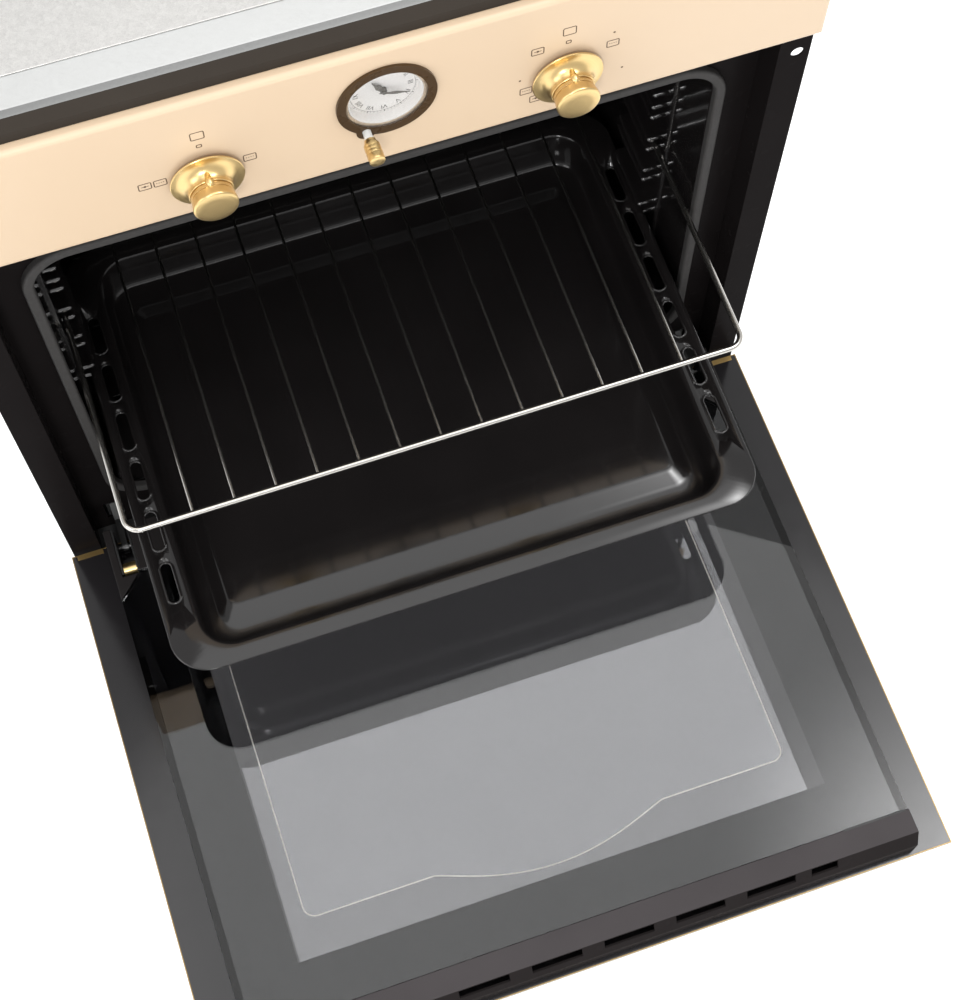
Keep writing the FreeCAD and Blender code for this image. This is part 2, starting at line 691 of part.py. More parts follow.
def basin(inset, drop, top_z):
    """Tapering body of the tray, inset by a wall thickness and as deep as given."""
    half = TRAY_HALF_W - TRAY_RIM_SIDE - inset
    front = TRAY_FRONT + TRAY_RIM_END + inset
    back = TRAY_FRONT + TRAY_LEN - TRAY_RIM_END - inset
    top = round_outline(half, front, back, TRAY_CORNER, level(top_z))
    low = round_outline(
        half - TRAY_SLOPE, front + TRAY_SLOPE, back - TRAY_SLOPE, TRAY_CORNER - inset, level(top_z - drop))
    return Part.makeLoft([top, low], True, True)


def make_baking_tray():
    """Enamelled tray with a sloping basin and slots along its side rims."""
    rim_low = TRAY_LEVEL - CHANNEL_H / 2 + GAP
    top = rim_low + SHEET
    outline = round_outline(TRAY_HALF_W, TRAY_FRONT, TRAY_FRONT + TRAY_LEN, TRAY_CORNER, level(rim_low))
    rim = Part.Face(outline).extrude(V(0, 0, SHEET))
    shell = fuse([rim, basin(0, TRAY_DEPTH, top)])
    cuts = [basin(SHEET, TRAY_DEPTH - SHEET, top)]
    for side in (-1, 1):
        for i in range(TRAY_SLOT_COUNT):
            y = TRAY_FRONT + TRAY_SLOT_FIRST + i * TRAY_SLOT_PITCH
            x = side * (TRAY_HALF_W - TRAY_SLOT_IN)
            half = TRAY_SLOT_LEN / 2 - TRAY_SLOT_W / 2
            x0 = x - TRAY_SLOT_W / 2
            cuts.append(block(x0, x0 + TRAY_SLOT_W, y - half, y + half, rim_low - CUT, top + CUT))
            cuts.append(rod_z(x, y - half, TRAY_SLOT_W / 2, rim_low - CUT, top + CUT))
            cuts.append(rod_z(x, y + half, TRAY_SLOT_W / 2, rim_low - CUT, top + CUT))
    return shell.cut(Part.makeCompound(cuts))


def make_door_outer_glass():
    """Outer pane of the door, as wide as the control panel."""
    return block(-WIDTH / 2, WIDTH / 2, DOOR_TIP, DOOR_HEEL, DOOR_FACE_Z, GLASS_TOP_Z)


def inner_outline(z, half, heel, chamfer, far):
    """Outline of the inner pane, with cut corners at the hinge end."""
    flat = ((-half, far), (half, far), (half, heel - chamfer), (half - chamfer, heel),
            (chamfer - half, heel), (-half, heel - chamfer))
    return [V(x, depth(y), z) for x, y in flat]


def pane_room():
    """Room that the rails leave for the inner pane, with a gap all round."""
    corner = GLASS_CHAMFER - 2 * GAP
    points = inner_outline(INNER_Z - GLASS_T, BOX_HALF_W, GLASS_HEEL + GAP, corner, TRIM_START)
    return prism(points, V(0, 0, GLASS_T + CUT))


def make_door_inner_glass():
    """Inner pane, flush with the door's inner face."""
    z = INNER_Z - GLASS_T
    points = inner_outline(z, BOX_HALF_W - GAP, GLASS_HEEL, GLASS_CHAMFER, TRIM_START + GAP)
    return prism(points, V(0, 0, GLASS_T))


def make_door_side_rail():
    """Right-hand folded rail: a ledge for the inner pane, and a closed corner outside the hinge slot."""
    under = INNER_Z - GLASS_T
    far = GLASS_HEEL - GLASS_CHAMFER
    slot = HINGE_X + SLOT_HALF_W
    web = block(BOX_HALF_W - SHEET, BOX_HALF_W, TRIM_START, BOX_HEEL, GLASS_TOP_Z, under)
    ledge = block(BOX_HALF_W - LEDGE_W, BOX_HALF_W, TRIM_START, HOUSING_END, under - SHEET, under)
    foot = block(BOX_HALF_W - FOOT_W, BOX_HALF_W, TRIM_START, HOUSING_END, GLASS_TOP_Z, GLASS_TOP_Z + SHEET)
    corner = block(BOX_HALF_W - SHEET, BOX_HALF_W, far, BOX_HEEL, under, INNER_Z)
    cap = block(slot, BOX_HALF_W, SLOT_END, BOX_HEEL, INNER_Z - SHEET, INNER_Z)
    heel = block(slot, BOX_HALF_W, BOX_HEEL - SHEET, BOX_HEEL, GLASS_TOP_Z, INNER_Z)
    flat = ((BOX_HALF_W, SLOT_END), (BOX_HALF_W, far), (BOX_HALF_W - GLASS_CHAMFER, SLOT_END))
    gusset = prism([V(x, depth(y), INNER_Z - SHEET) for x, y in flat], V(0, 0, SHEET))
    return fuse([web, ledge, foot, corner, cap, heel, gusset]).cut(pane_room())


def make_door_bottom_rail():
    """Rail at the hinge end between the two hinge slots, open towards the outer pane."""
    half = HINGE_X - SLOT_HALF_W
    outer = block(-half, half, SLOT_END, BOX_HEEL, GLASS_TOP_Z, INNER_Z)
    hollow = block(SHEET - half, half - SHEET, SLOT_END + SHEET, BOX_HEEL - SHEET, 0, INNER_Z - SHEET)
    return outer.cut(Part.makeCompound([hollow, pane_room()]))


def trim_outline(x, wall):
    """Cross-section of the vent trim, drawn in by a wall thickness."""
    flat = ((TRIM_START, GLASS_TOP_Z), (TRIM_END + wall, GLASS_TOP_Z),
            (TRIM_END + wall, TRIM_NOSE_Z - wall / 2), (TRIM_BEND + wall / 2, INNER_Z - wall),
            (TRIM_START, INNER_Z - wall))
    return [V(x, depth(y), z) for y, z in flat]


def make_door_top_trim():
    """Black hollow trim along the free edge, with air slots in its sloping face."""
    shell = prism(trim_outline(-TRIM_HALF_W, 0), V(2 * TRIM_HALF_W, 0, 0))
    run = 2 * (TRIM_HALF_W - TRIM_WALL)
    hollow = prism(trim_outline(TRIM_WALL - TRIM_HALF_W, TRIM_WALL), V(run, 0, 0))
    slope = V(0, TRIM_END - TRIM_BEND, TRIM_NOSE_Z - INNER_Z).normalize()
    normal = V(0, slope.z, -slope.y)
    bend = V(0, depth(TRIM_BEND), INNER_Z)
    cuts = [hollow]
    vents = [(-VENT_END_X, VENT_END_LEN), (VENT_END_X, VENT_END_LEN)]
    vents += [((i - (VENT_COUNT - 1) / 2) * VENT_PITCH, VENT_LEN) for i in range(VENT_COUNT)]
    for middle, length in vents:
        start = V(middle - length / 2, 0, 0)
        corners = []
        for along, away in ((VENT_NEAR, -1), (VENT_FAR, -1), (VENT_FAR, 1), (VENT_NEAR, 1)):
            corners.append(bend + start + slope * along + normal * (away * 2 * TRIM_WALL))
        cuts.append(prism(corners, V(length, 0, 0)))
    return shell.cut(Part.makeCompound(cuts))


def make_hinge_arm():
    """Right-hand hinge arm: an eye round the pin and a bar into the frame."""
    x0 = HINGE_X - ARM_T / 2
    eye = rod_x(x0, x0 + ARM_T, HINGE_Y, HINGE_Z, EYE_R)
    bar = block(x0, x0 + ARM_T, HINGE_Y, ARM_BACK, HINGE_Z - EYE_R, HINGE_Z + EYE_R)
    knee = [(PLATE_DEPTH - SLOT_HALF_W * 2, HINGE_Z), (ARM_BACK, HINGE_Z), (ARM_BACK, HINGE_Z + ARM_RISE)]
    knee.append((PLATE_DEPTH, HINGE_Z + ARM_RISE))
    brace = prism([V(x0, depth(y), z) for y, z in knee], V(ARM_T, 0, 0))
    hole = rod_x(x0 - CUT, x0 + ARM_T + CUT, HINGE_Y, HINGE_Z, PIN_R + RUN)
    return fuse([eye, bar, brace]).cut(hole)


def make_hinge_receiver():
    """Right-hand pocket behind the frame that holds the hinge arm."""
    half = ARM_T / 2 + RUN
    low = HINGE_Z - EYE_R
    high = HINGE_Z + ARM_RISE
    outer = block(HINGE_X - half - RECEIVER_WALL, HINGE_X + half + RECEIVER_WALL, PLATE_BACK,
                  RECEIVER_BACK, low - RECEIVER_WALL, high + RECEIVER_WALL)
    pocket = block(HINGE_X - half, HINGE_X + half, PLATE_BACK - CUT, ARM_BACK + RUN, low, high)
    return outer.cut(pocket)


def make_hinge_housing():
    """Right-hand channel in the door: two cheeks joined by a base, with pin holes."""
    out = SLOT_HALF_W - GAP
    low = GLASS_TOP_Z
    tall = GLASS_HEEL + GAP
    x0 = HINGE_X - out
    x1 = HINGE_X + out
    base = block(x0, x1, HOUSING_END, HOUSING_BASE, low, low + CHEEK_T)
    near = block(x0, x0 + CHEEK_T, tall, BOX_HEEL - SHEET, low, INNER_Z)
    far = block(x1 - CHEEK_T, x1, tall, BOX_HEEL - SHEET, low, INNER_Z)
    under = INNER_Z - GLASS_T - SHEET - GAP
    near_low = block(x0, x0 + CHEEK_T, HOUSING_END, tall, low, under)
    far_low = block(x1 - CHEEK_T, x1, HOUSING_END, tall, low, under)
    end = block(x0, x1, HOUSING_END, HOUSING_END + CHEEK_T, low, under)
    holes = [rod_x(x0 - CUT, x1 + CUT, HINGE_Y, HINGE_Z, PIN_R)]
    holes.append(rod_x(x0 - CUT, x1 + CUT, ROLLER_Y, INNER_Z - ROLLER_R - ROLLER_SET, ROLLER_PIN_R))
    channel = fuse([base, near, far, near_low, far_low, end])
    return channel.cut(Part.makeCompound(holes))


def make_hinge_pin():
    """Right-hand hinge pin, held in the door's cheeks."""
    out = SLOT_HALF_W - GAP
    return rod_x(HINGE_X - out, HINGE_X + out, HINGE_Y, HINGE_Z, PIN_R)


def make_hinge_roller():
    """Right-hand brass roller on its own small pin."""
    out = SLOT_HALF_W - GAP
    z = INNER_Z - ROLLER_R - ROLLER_SET
    wide = out - CHEEK_T - GAP
    drum = rod_x(HINGE_X - wide, HINGE_X + wide, ROLLER_Y, z, ROLLER_R)
    axle = rod_x(HINGE_X - out, HINGE_X + out, ROLLER_Y, z, ROLLER_PIN_R)
    return fuse([drum, axle])


def make_hinge_spring():
    """Right-hand closing spring, a plain barrel inside the channel."""
    z = GLASS_TOP_Z + CHEEK_T + SPRING_R
    body = rod_y(HINGE_X, z, SPRING_R, SPRING_END, SPRING_START)
    tail = rod_y(HINGE_X, z, SPRING_R / 2, HOUSING_END + CHEEK_T, SPRING_END)
    return fuse([body, tail])


def make_handle_bar():
    """Brass bar with turned ends."""
    z = DOOR_FACE_Z - HANDLE_STAND
    grip = rod_x(-POST_X, POST_X, HANDLE_Y, z, HANDLE_R)
    shapes = [grip]
    for side in (-1, 1):
        neck = min(side * POST_X, side * HANDLE_HALF_L)
        shapes.append(rod_x(neck, neck + HANDLE_HALF_L - POST_X, HANDLE_Y, z, HANDLE_NECK_R))
        shapes.append(Part.makeSphere(HANDLE_R, V(side * HANDLE_HALF_L, depth(HANDLE_Y), z)))
    bar = fuse(shapes)
    seats = []
    for side in (-1, 1):
        seats.append(rod_z(side * POST_X, HANDLE_Y, POST_R, z, DOOR_FACE_Z))
    return bar.cut(Part.makeCompound(seats))


def make_handle_post():
    """Right-hand post between the bar and the door."""
    z = DOOR_FACE_Z - HANDLE_STAND
    stem = rod_z(POST_X, HANDLE_Y, POST_R, z, DOOR_FACE_Z)
    foot = rod_z(POST_X, HANDLE_Y, POST_FOOT_R, DOOR_FACE_Z - POST_FOOT_T, DOOR_FACE_Z)
    return fuse([stem, foot])


def turned(profile, x, z):
    """Solid of revolution about an axis along Y; the profile holds radius and height off the panel."""
    points = [V(x + r, depth(-h), z) for r, h in profile]
    face = Part.Face(Part.makePolygon(points + points[:1]))
    return face.revolve(V(x, 0, z), V(0, 1, 0), 360)


def make_knob(x):
    """Turned knob: flared skirt, ring, grip, a pointer across the neck and a bore for its spindle."""
    bore = SPINDLE_R + RUN
    neck = KNOB_NECK
    rim = KNOB_RIM_R
    edge = KNOB_GAP + KNOB_STEP
    profile = [(bore, KNOB_GAP), (rim, KNOB_GAP)]
    for i in range(FLARE_STEPS + 1):
        a = math.pi / 2 * i / FLARE_STEPS
        r = rim - (rim - KNOB_NECK_R) * math.sin(a)
        profile.append((r, edge + (neck - edge) * (1 - math.cos(a))))
    ring = KNOB_NECK_R + KNOB_STEP
    profile += [(ring, neck), (ring, neck + KNOB_RING), (KNOB_NECK_R, neck + KNOB_RING)]
    profile += [(KNOB_GRIP_R, KNOB_END - KNOB_CROWN), (KNOB_GRIP_R - KNOB_CROWN, KNOB_END - GAP)]
    profile += [(0, KNOB_END), (0, SPINDLE_TIP + RUN), (bore, SPINDLE_TIP + RUN)]
    body = turned(profile, x, KNOB_Z)
    pointer = rod_y(x, KNOB_Z + KNOB_NECK_R, POINTER_R, POINTER_TOP - KNOB_END, POINTER_LOW - neck)
    core = rod_y(x, KNOB_Z, KNOB_NECK_R, -KNOB_END, -KNOB_GAP)
    return fuse([body, pointer.cut(core)])


def make_spindle(x):
    """Round spindle from the control body to the knob."""
    return rod_y(x, KNOB_Z, SPINDLE_R, -SPINDLE_TIP, SPINDLE_TAIL)


def control_block(x):
    """Box of a control fixed behind the frame, in line with its knob."""
    x0 = x - BLOCK_HALF_W
    x1 = x + BLOCK_HALF_W
    return block(x0, x1, FLANGE_BACK, BLOCK_DEPTH, BLOCK_LOW_Z, BLOCK_TOP_Z)


def make_function_switch():
    """Rotary switch fixed behind the frame, with a bore for the left spindle."""
    body = control_block(-KNOB_X)
    return body.cut(rod_y(-KNOB_X, KNOB_Z, SPINDLE_R + RUN, FLANGE_BACK - CUT, SPINDLE_TAIL + RUN))


def make_gas_valve():
    """Thermostatic gas tap with a bore for the collar and spindle that push in."""
    body = control_block(KNOB_X)
    chamber = COLLAR_START + COLLAR_LEN + PUSH + GAP
    collar = rod_y(KNOB_X, KNOB_Z, COLLAR_R + RUN, FLANGE_BACK - CUT, chamber)
    tail = rod_y(KNOB_X, KNOB_Z, SPINDLE_R + RUN, FLANGE_BACK - CUT, SPINDLE_TAIL + PUSH + GAP)
    return body.cut(Part.makeCompound([collar, tail]))


def make_gas_plunger():
    """Collar that slides in the gas tap when the knob is pushed."""
    ring = rod_y(KNOB_X, KNOB_Z, COLLAR_R, COLLAR_START, COLLAR_START + COLLAR_LEN)
    return ring.cut(rod_y(KNOB_X, KNOB_Z, SPINDLE_R + RUN, 0, BLOCK_DEPTH))


def make_clock_bezel():
    """Flat bronze ring round the clock with a lobe for the timer stem."""
    ring = rod_y(0, CLOCK_Z, BEZEL_R, -BEZEL_T, 0)
    lobe = rod_y(TIMER_X, TIMER_Z, TIMER_LOBE_R, -BEZEL_T, 0)
    cuts = [rod_y(0, CLOCK_Z, BEZEL_INNER_R, -BEZEL_T - CUT, CUT)]
    cuts.append(rod_y(TIMER_X, TIMER_Z, TIMER_STEM_R + GAP, -BEZEL_T - CUT, CUT))
    return fuse([ring, lobe]).cut(Part.makeCompound(cuts))


def make_clock_lens():
    """Clear cap over the dial, standing on the panel."""
    inner = LENS_R - LENS_WALL
    bevel = LENS_R - LENS_BEVEL_W
    edge = LENS_H - LENS_DOME
    profile = [(LENS_R, 0), (LENS_R, LENS_H - LENS_BEVEL_H), (bevel, edge), (0, LENS_H)]
    profile += [(0, LENS_H - LENS_WALL), (bevel, edge - LENS_WALL)]
    profile += [(inner, LENS_H - LENS_BEVEL_H - LENS_WALL / 2), (inner, 0)]
    return turned(profile, 0, CLOCK_Z)


def make_clock_dial():
    """White dial cup on the face of the movement, as deep as the panel."""
    cup = rod_y(0, CLOCK_Z, DIAL_R, DIAL_EDGE, DIAL_SET + DIAL_T)
    cuts = [rod_y(0, CLOCK_Z, DIAL_R - DIAL_WALL, 0, DIAL_SET)]
    cuts.append(rod_y(0, CLOCK_Z, HOUR_TUBE_R + GAP, 0, DIAL_SET + DIAL_T + CUT))
    return cup.cut(Part.makeCompound(cuts))


def make_clock_movement():
    """Clock works: a can behind the dial, an ear fixed to the frame and a bush for the timer."""
    can = rod_y(0, CLOCK_Z, DIAL_R, DIAL_SET + DIAL_T, MOVEMENT_BACK)
    ear = rod_y(0, CLOCK_Z, MOVEMENT_EAR_R, FLANGE_BACK, FLANGE_BACK + MOVEMENT_EAR_T)
    bush = rod_y(TIMER_X, TIMER_Z, TIMER_BUSH_R, FLANGE_BACK, TIMER_TAIL + MOVEMENT_EAR_T)
    cuts = [rod_y(0, CLOCK_Z, HOUR_TUBE_R + RUN, 0, HOUR_TAIL + CUT)]
    cuts.append(rod_y(0, CLOCK_Z, MINUTE_SHAFT_R + RUN, 0, MINUTE_TAIL + CUT))
    cuts.append(rod_y(TIMER_X, TIMER_Z, TIMER_STEM_R + RUN, 0, TIMER_TAIL + RUN))
    return fuse([can, ear, bush]).cut(Part.makeCompound(cuts))


def leaf(length, width, angle, face):
    """Leaf-shaped clock hand in front of the dial."""
    a = math.radians(angle)
    upper = ((-0.2, 0), (0, 0.35), (0.45, 1), (0.75, 0.35), (1, 0.12))
    lower = tuple((u, -v) for u, v in reversed(upper[1:]))
    points = []
    for u, v in upper + lower:
        x = u * length * math.cos(a) - v * width * math.sin(a)
        z = u * length * math.sin(a) + v * width * math.cos(a)
        points.append(V(x, depth(face), CLOCK_Z + z))
    return prism(points, V(0, HAND_T, 0))


def make_hour_hand():
    """Hour hand on its tube."""
    hub = rod_y(0, CLOCK_Z, HOUR_TUBE_R, HOUR_FACE, HOUR_TAIL)
    bore = rod_y(0, CLOCK_Z, MINUTE_SHAFT_R + RUN, HOUR_FACE - CUT, HOUR_TAIL + CUT)
    return fuse([hub, leaf(HOUR_LEN, HOUR_TUBE_R, HOUR_ANGLE, HOUR_FACE)]).cut(bore)


def make_minute_hand():
    """Minute hand on its shaft, through the hour tube."""
    shaft = rod_y(0, CLOCK_Z, MINUTE_SHAFT_R, MINUTE_FACE, MINUTE_TAIL)
    return fuse([shaft, leaf(MINUTE_LEN, MINUTE_SHAFT_R, MINUTE_ANGLE, MINUTE_FACE)])


def make_timer_stem():
    """Clear stem of the timer."""
    return rod_y(TIMER_X, TIMER_Z, TIMER_STEM_R, -TIMER_CAP_START, TIMER_TAIL)


def make_timer_cap():
    """Turned brass cap on the timer's stem."""
    r = TIMER_CAP_R
    neck = r - TIMER_CAP_NECK
    start = TIMER_CAP_START
    flare = start + TIMER_CAP_FLARE
    crown = TIMER_CAP_END - TIMER_CAP_CROWN
    profile = [(0, start), (neck, start), (neck, flare), (r, flare + TIMER_CAP_FLARE)]
    profile += [(r, crown - TIMER_CAP_R), (r - TIMER_CAP_CROWN, crown), (0, TIMER_CAP_END)]
    return turned(profile, TIMER_X, TIMER_Z)


def make_control_shelf():
    """Cross sheet over the insulation that carries the blower and the wiring."""
    sheet = block(-SIDE_IN, SIDE_IN, PLATE_BACK, BACK_IN, SHELF_Z, SHELF_Z + SHEET)
    return sheet.cut(rod_z(BURNER_HALF_W, PIPE_RISE_Y, PIPE_R + GAP, SHELF_Z - CUT, SHELF_Z + SHEET + CUT))


def make_oven_burner():
    """Ring burner on legs under the floor plate, with flame ports and a stub to the supply pipe."""
    loop = round_outline(BURNER_HALF_W, BURNER_FRONT, BURNER_BACK, BURNER_CORNER, level(BURNER_Z))
    ring = sweep(loop, BURNER_R)
    first = BURNER_FRONT + BURNER_CORNER
    step = (BURNER_BACK - BURNER_CORNER - first) / (BURNER_PORTS + 1)
    stub = rod_y(BURNER_HALF_W, BURNER_Z, BURNER_R, BURNER_BACK - BURNER_CORNER, BURNER_STUB_END)
    shapes = [ring, stub]
    for x in (-BURNER_HALF_W, BURNER_HALF_W):
        for y in (first, BURNER_BACK - BURNER_CORNER):
            shapes.append(rod_z(x, y, LEG_R, CAVITY_FLOOR_Z, BURNER_Z))
    ports = []
    for i in range(BURNER_PORTS):
        y = first + (i + 1) * step
        for x in (-BURNER_HALF_W, BURNER_HALF_W):
            ports.append(rod_z(x, y, BURNER_PORT_R, BURNER_Z + BURNER_R / 2, BURNER_Z + BURNER_R + CUT))
    return fuse(shapes).cut(Part.makeCompound(ports))


def make_burner_supply_pipe():
    """Pipe from the gas tap, over the shelf and down the back to the burner."""
    x = BURNER_HALF_W
    points = [V(x, depth(BURNER_STUB_END), BURNER_Z), V(x, depth(PIPE_RISE_Y), BURNER_Z)]
    points += [V(x, depth(PIPE_RISE_Y), KNOB_Z), V(x, depth(BLOCK_DEPTH), KNOB_Z)]
    return pipe(points, PIPE_BEND, PIPE_R, PIPE_BORE_R)


def make_gas_inlet():
    """Threaded inlet stub with a neck through the back panel and a nut against the sheet."""
    thread = rod_y(INLET_X, INLET_Z, INLET_R, BODY_BACK + INLET_NECK, BODY_BACK + INLET_OUT)
    neck = rod_y(INLET_X, INLET_Z, INLET_NECK_R, BACK_IN - INLET_NUT_T, BODY_BACK + INLET_OUT)
    nut = rod_y(INLET_X, INLET_Z, INLET_NUT_R, BACK_IN - INLET_NUT_T, BACK_IN)
    bore = rod_y(INLET_X, INLET_Z, INLET_BORE_R, BACK_IN - INLET_NUT_T / 2, BODY_BACK + INLET_OUT + CUT)
    return fuse([thread, neck, nut]).cut(bore)


def make_gas_feed_pipe():
    """Pipe from the inlet to the side of the gas tap."""
    points = [V(INLET_X, depth(BACK_IN - INLET_NUT_T), INLET_Z), V(INLET_X, depth(FEED_Y), INLET_Z)]
    points.append(V(KNOB_X + BLOCK_HALF_W, depth(FEED_Y), INLET_Z))
    return pipe(points, PIPE_BEND, PIPE_R, PIPE_BORE_R)


def make_ignition_probes():
    """Spark electrode and flame sensor, standing beside the front of the burner."""
    probes = []
    for x in (-PROBE_X, PROBE_X):
        y = BURNER_FRONT - BURNER_R - 2 * PROBE_R
        foot = rod_z(x, y, 2 * PROBE_R, CAVITY_FLOOR_Z, CAVITY_FLOOR_Z + 4 * PROBE_R)
        probes.append(fuse([foot, rod_z(x, y, PROBE_R, CAVITY_FLOOR_Z, PROBE_HIGH_Z)]))
    return Part.makeCompound(probes)


def make_grill_element():
    """Tubular grill under the roof, both ends fixed to the rear wall."""
    flat = ((-GRILL_HALF_W, CAVITY_BACK), (-GRILL_HALF_W, GRILL_FRONT), (-GRILL_INNER, GRILL_FRONT),
            (-GRILL_INNER, GRILL_BACK), (GRILL_INNER, GRILL_BACK), (GRILL_INNER, GRILL_FRONT),
            (GRILL_HALF_W, GRILL_FRONT), (GRILL_HALF_W, CAVITY_BACK))
    points = [V(x, depth(y), GRILL_Z) for x, y in flat]
    return sweep(bent_path(points, GRILL_BEND), GRILL_R)


def make_lamp_housing():
    """Lamp can behind the rear wall."""
    back = CAVITY_BACK + SHEET
    return rod_y(LAMP_X, LAMP_Z, LAMP_R, back, back + LAMP_CAN_DEPTH)


def make_lamp_lens():
    """Domed glass cover of the lamp inside the baking space."""
    y0 = CAVITY_BACK - LAMP_LENS_DEPTH
    base = rod_y(LAMP_X, LAMP_Z, LAMP_R, y0, CAVITY_BACK)
    front = [e for e in base.Edges if e.BoundBox.YMax < depth(y0) + GAP]
    return base.makeFillet(LAMP_LENS_DEPTH / 2, front)


def make_fan_cover():
    """Perforated pan over the convection fan, fixed to the rear wall."""
    pan = rod_y(0, FAN_Z, FAN_COVER_R, FAN_COVER_FACE, CAVITY_BACK)
    cuts = [rod_y(0, FAN_Z, FAN_COVER_R - SHEET, FAN_COVER_FACE + SHEET, CAVITY_BACK + CUT)]
    rings = ((FAN_HOLE_NEAR_R, FAN_HOLE_NEAR_COUNT), (FAN_HOLE_FAR_R, FAN_HOLE_FAR_COUNT))
    for radius, count in rings:
        for i in range(count):
            a = 2 * math.pi * i / count
            x = radius * math.cos(a)
            z = FAN_Z + radius * math.sin(a)
            cuts.append(rod_y(x, z, FAN_HOLE_R, FAN_COVER_FACE - CUT, FAN_COVER_FACE + SHEET + CUT))
    return pan.cut(Part.makeCompound(cuts))


def make_convection_fan():
    """Fan wheel: back disc, straight blades and the shaft into its motor."""
    disc = rod_y(0, FAN_Z, FAN_R, FAN_END - SHEET, FAN_END)
    shaft = rod_y(0, FAN_Z, FAN_SHAFT_R, FAN_START, MOTOR_FRONT + MOTOR_R / 2)
    shapes = [disc, shaft]
    blade = block(FAN_R / 2, FAN_R - CUT, FAN_START, FAN_END - SHEET / 2, FAN_Z, FAN_Z + FAN_BLADE_T)
    for i in range(FAN_BLADES):
        copy = blade.copy()
        copy.rotate(V(0, 0, FAN_Z), V(0, 1, 0), 360 * i / FAN_BLADES)
        shapes.append(copy)
    return fuse(shapes)


def make_fan_motor():
    """Fan motor on feet against the insulation's back."""
    body = rod_y(0, FAN_Z, MOTOR_R, MOTOR_FRONT, MOTOR_BACK)
    face = CAVITY_BACK + SHEET + WOOL_T
    feet = []
    for side in (-1, 1):
        feet.append(block(side * MOTOR_R / 2 - LEG_R, side * MOTOR_R / 2 + LEG_R, face, MOTOR_FRONT + LEG_R,
                          FAN_Z - LEG_R, FAN_Z + LEG_R))
    bore = rod_y(0, FAN_Z, FAN_SHAFT_R + RUN, face, MOTOR_FRONT + MOTOR_R / 2 + GAP)
    return fuse([body] + feet).cut(bore)


def make_blower_housing():
    """Round blower case on the shelf, with an eye on top and an outlet to the front."""
    z0 = SHELF_Z + SHEET
    case = rod_z(BLOWER_X, BLOWER_Y, BLOWER_R, z0, z0 + BLOWER_H)
    spout = block(BLOWER_X, BLOWER_X + BLOWER_R, BLOWER_Y - 2 * BLOWER_R, BLOWER_Y, z0, z0 + BLOWER_H)
    wall = BLOWER_WALL
    room = rod_z(BLOWER_X, BLOWER_Y, BLOWER_R - wall, z0 + wall, z0 + BLOWER_H - wall)
    duct = block(BLOWER_X + wall, BLOWER_X + BLOWER_R - wall, BLOWER_Y - 2 * BLOWER_R - CUT, BLOWER_Y,
                 z0 + wall, z0 + BLOWER_H - wall)
    eye = rod_z(BLOWER_X, BLOWER_Y, BLOWER_EYE_R, z0 + BLOWER_H - 2 * wall, z0 + BLOWER_H + CUT)
    return fuse([case, spout]).cut(fuse([room, duct])).cut(eye)


def make_blower_motor():
    """Blower motor hung in the eye of the case on three arms."""
    z0 = SHELF_Z + SHEET + BLOWER_H
    body = rod_z(BLOWER_X, BLOWER_Y, BLOWER_MOTOR_R, z0, z0 + BLOWER_MOTOR_H)
    shapes = [body]
    tip = BLOWER_X + BLOWER_EYE_R + 2 * LEG_R
    arm = block(BLOWER_X, tip, BLOWER_Y - LEG_R, BLOWER_Y + LEG_R, z0, z0 + LEG_R)
    for i in range(BLOWER_ARMS):
        copy = arm.copy()
        copy.rotate(V(BLOWER_X, depth(BLOWER_Y), 0), V(0, 0, 1), 360 * i / BLOWER_ARMS)
        shapes.append(copy)
    bore = rod_z(BLOWER_X, BLOWER_Y, BLOWER_SHAFT_R + RUN, z0 - CUT, z0 + BLOWER_MOTOR_H / 2)
    return fuse(shapes).cut(bore)


def make_blower_wheel():
    """Drum wheel of the blower on its shaft."""
    z0 = SHELF_Z + SHEET + BLOWER_WHEEL_LIFT
    top = SHELF_Z + SHEET + BLOWER_H + BLOWER_MOTOR_H / 2 - CUT
    disc = rod_z(BLOWER_X, BLOWER_Y, BLOWER_WHEEL_R, z0, z0 + SHEET)
    shaft = rod_z(BLOWER_X, BLOWER_Y, BLOWER_SHAFT_R, z0, top)
    shapes = [disc, shaft]
    tip = BLOWER_X + BLOWER_WHEEL_R - CUT
    blade = block(tip - BLOWER_BLADE_W, tip, BLOWER_Y, BLOWER_Y + SHEET, z0, z0 + BLOWER_WHEEL_H)
    for i in range(BLOWER_BLADES):
        copy = blade.copy()
        copy.rotate(V(BLOWER_X, depth(BLOWER_Y), 0), V(0, 0, 1), 360 * i / BLOWER_BLADES)
        shapes.append(copy)
    return fuse(shapes)


def make_terminal_block():
    """Mains terminal box on the back panel with a cable gland through it."""
    half = TERMINAL_W / 2
    low = TERMINAL_Z - TERMINAL_H / 2
    box = block(TERMINAL_X - half, TERMINAL_X + half, BACK_IN - TERMINAL_D, BACK_IN, low, low + TERMINAL_H)
    gland = rod_y(TERMINAL_X, TERMINAL_Z, GLAND_R, BACK_IN - CUT, BODY_BACK + GLAND_OUT)
    bore = rod_y(TERMINAL_X, TERMINAL_Z, GLAND_BORE_R, BACK_IN - TERMINAL_D / 2, BODY_BACK + GLAND_OUT + CUT)
    return fuse([box, gland]).cut(bore)


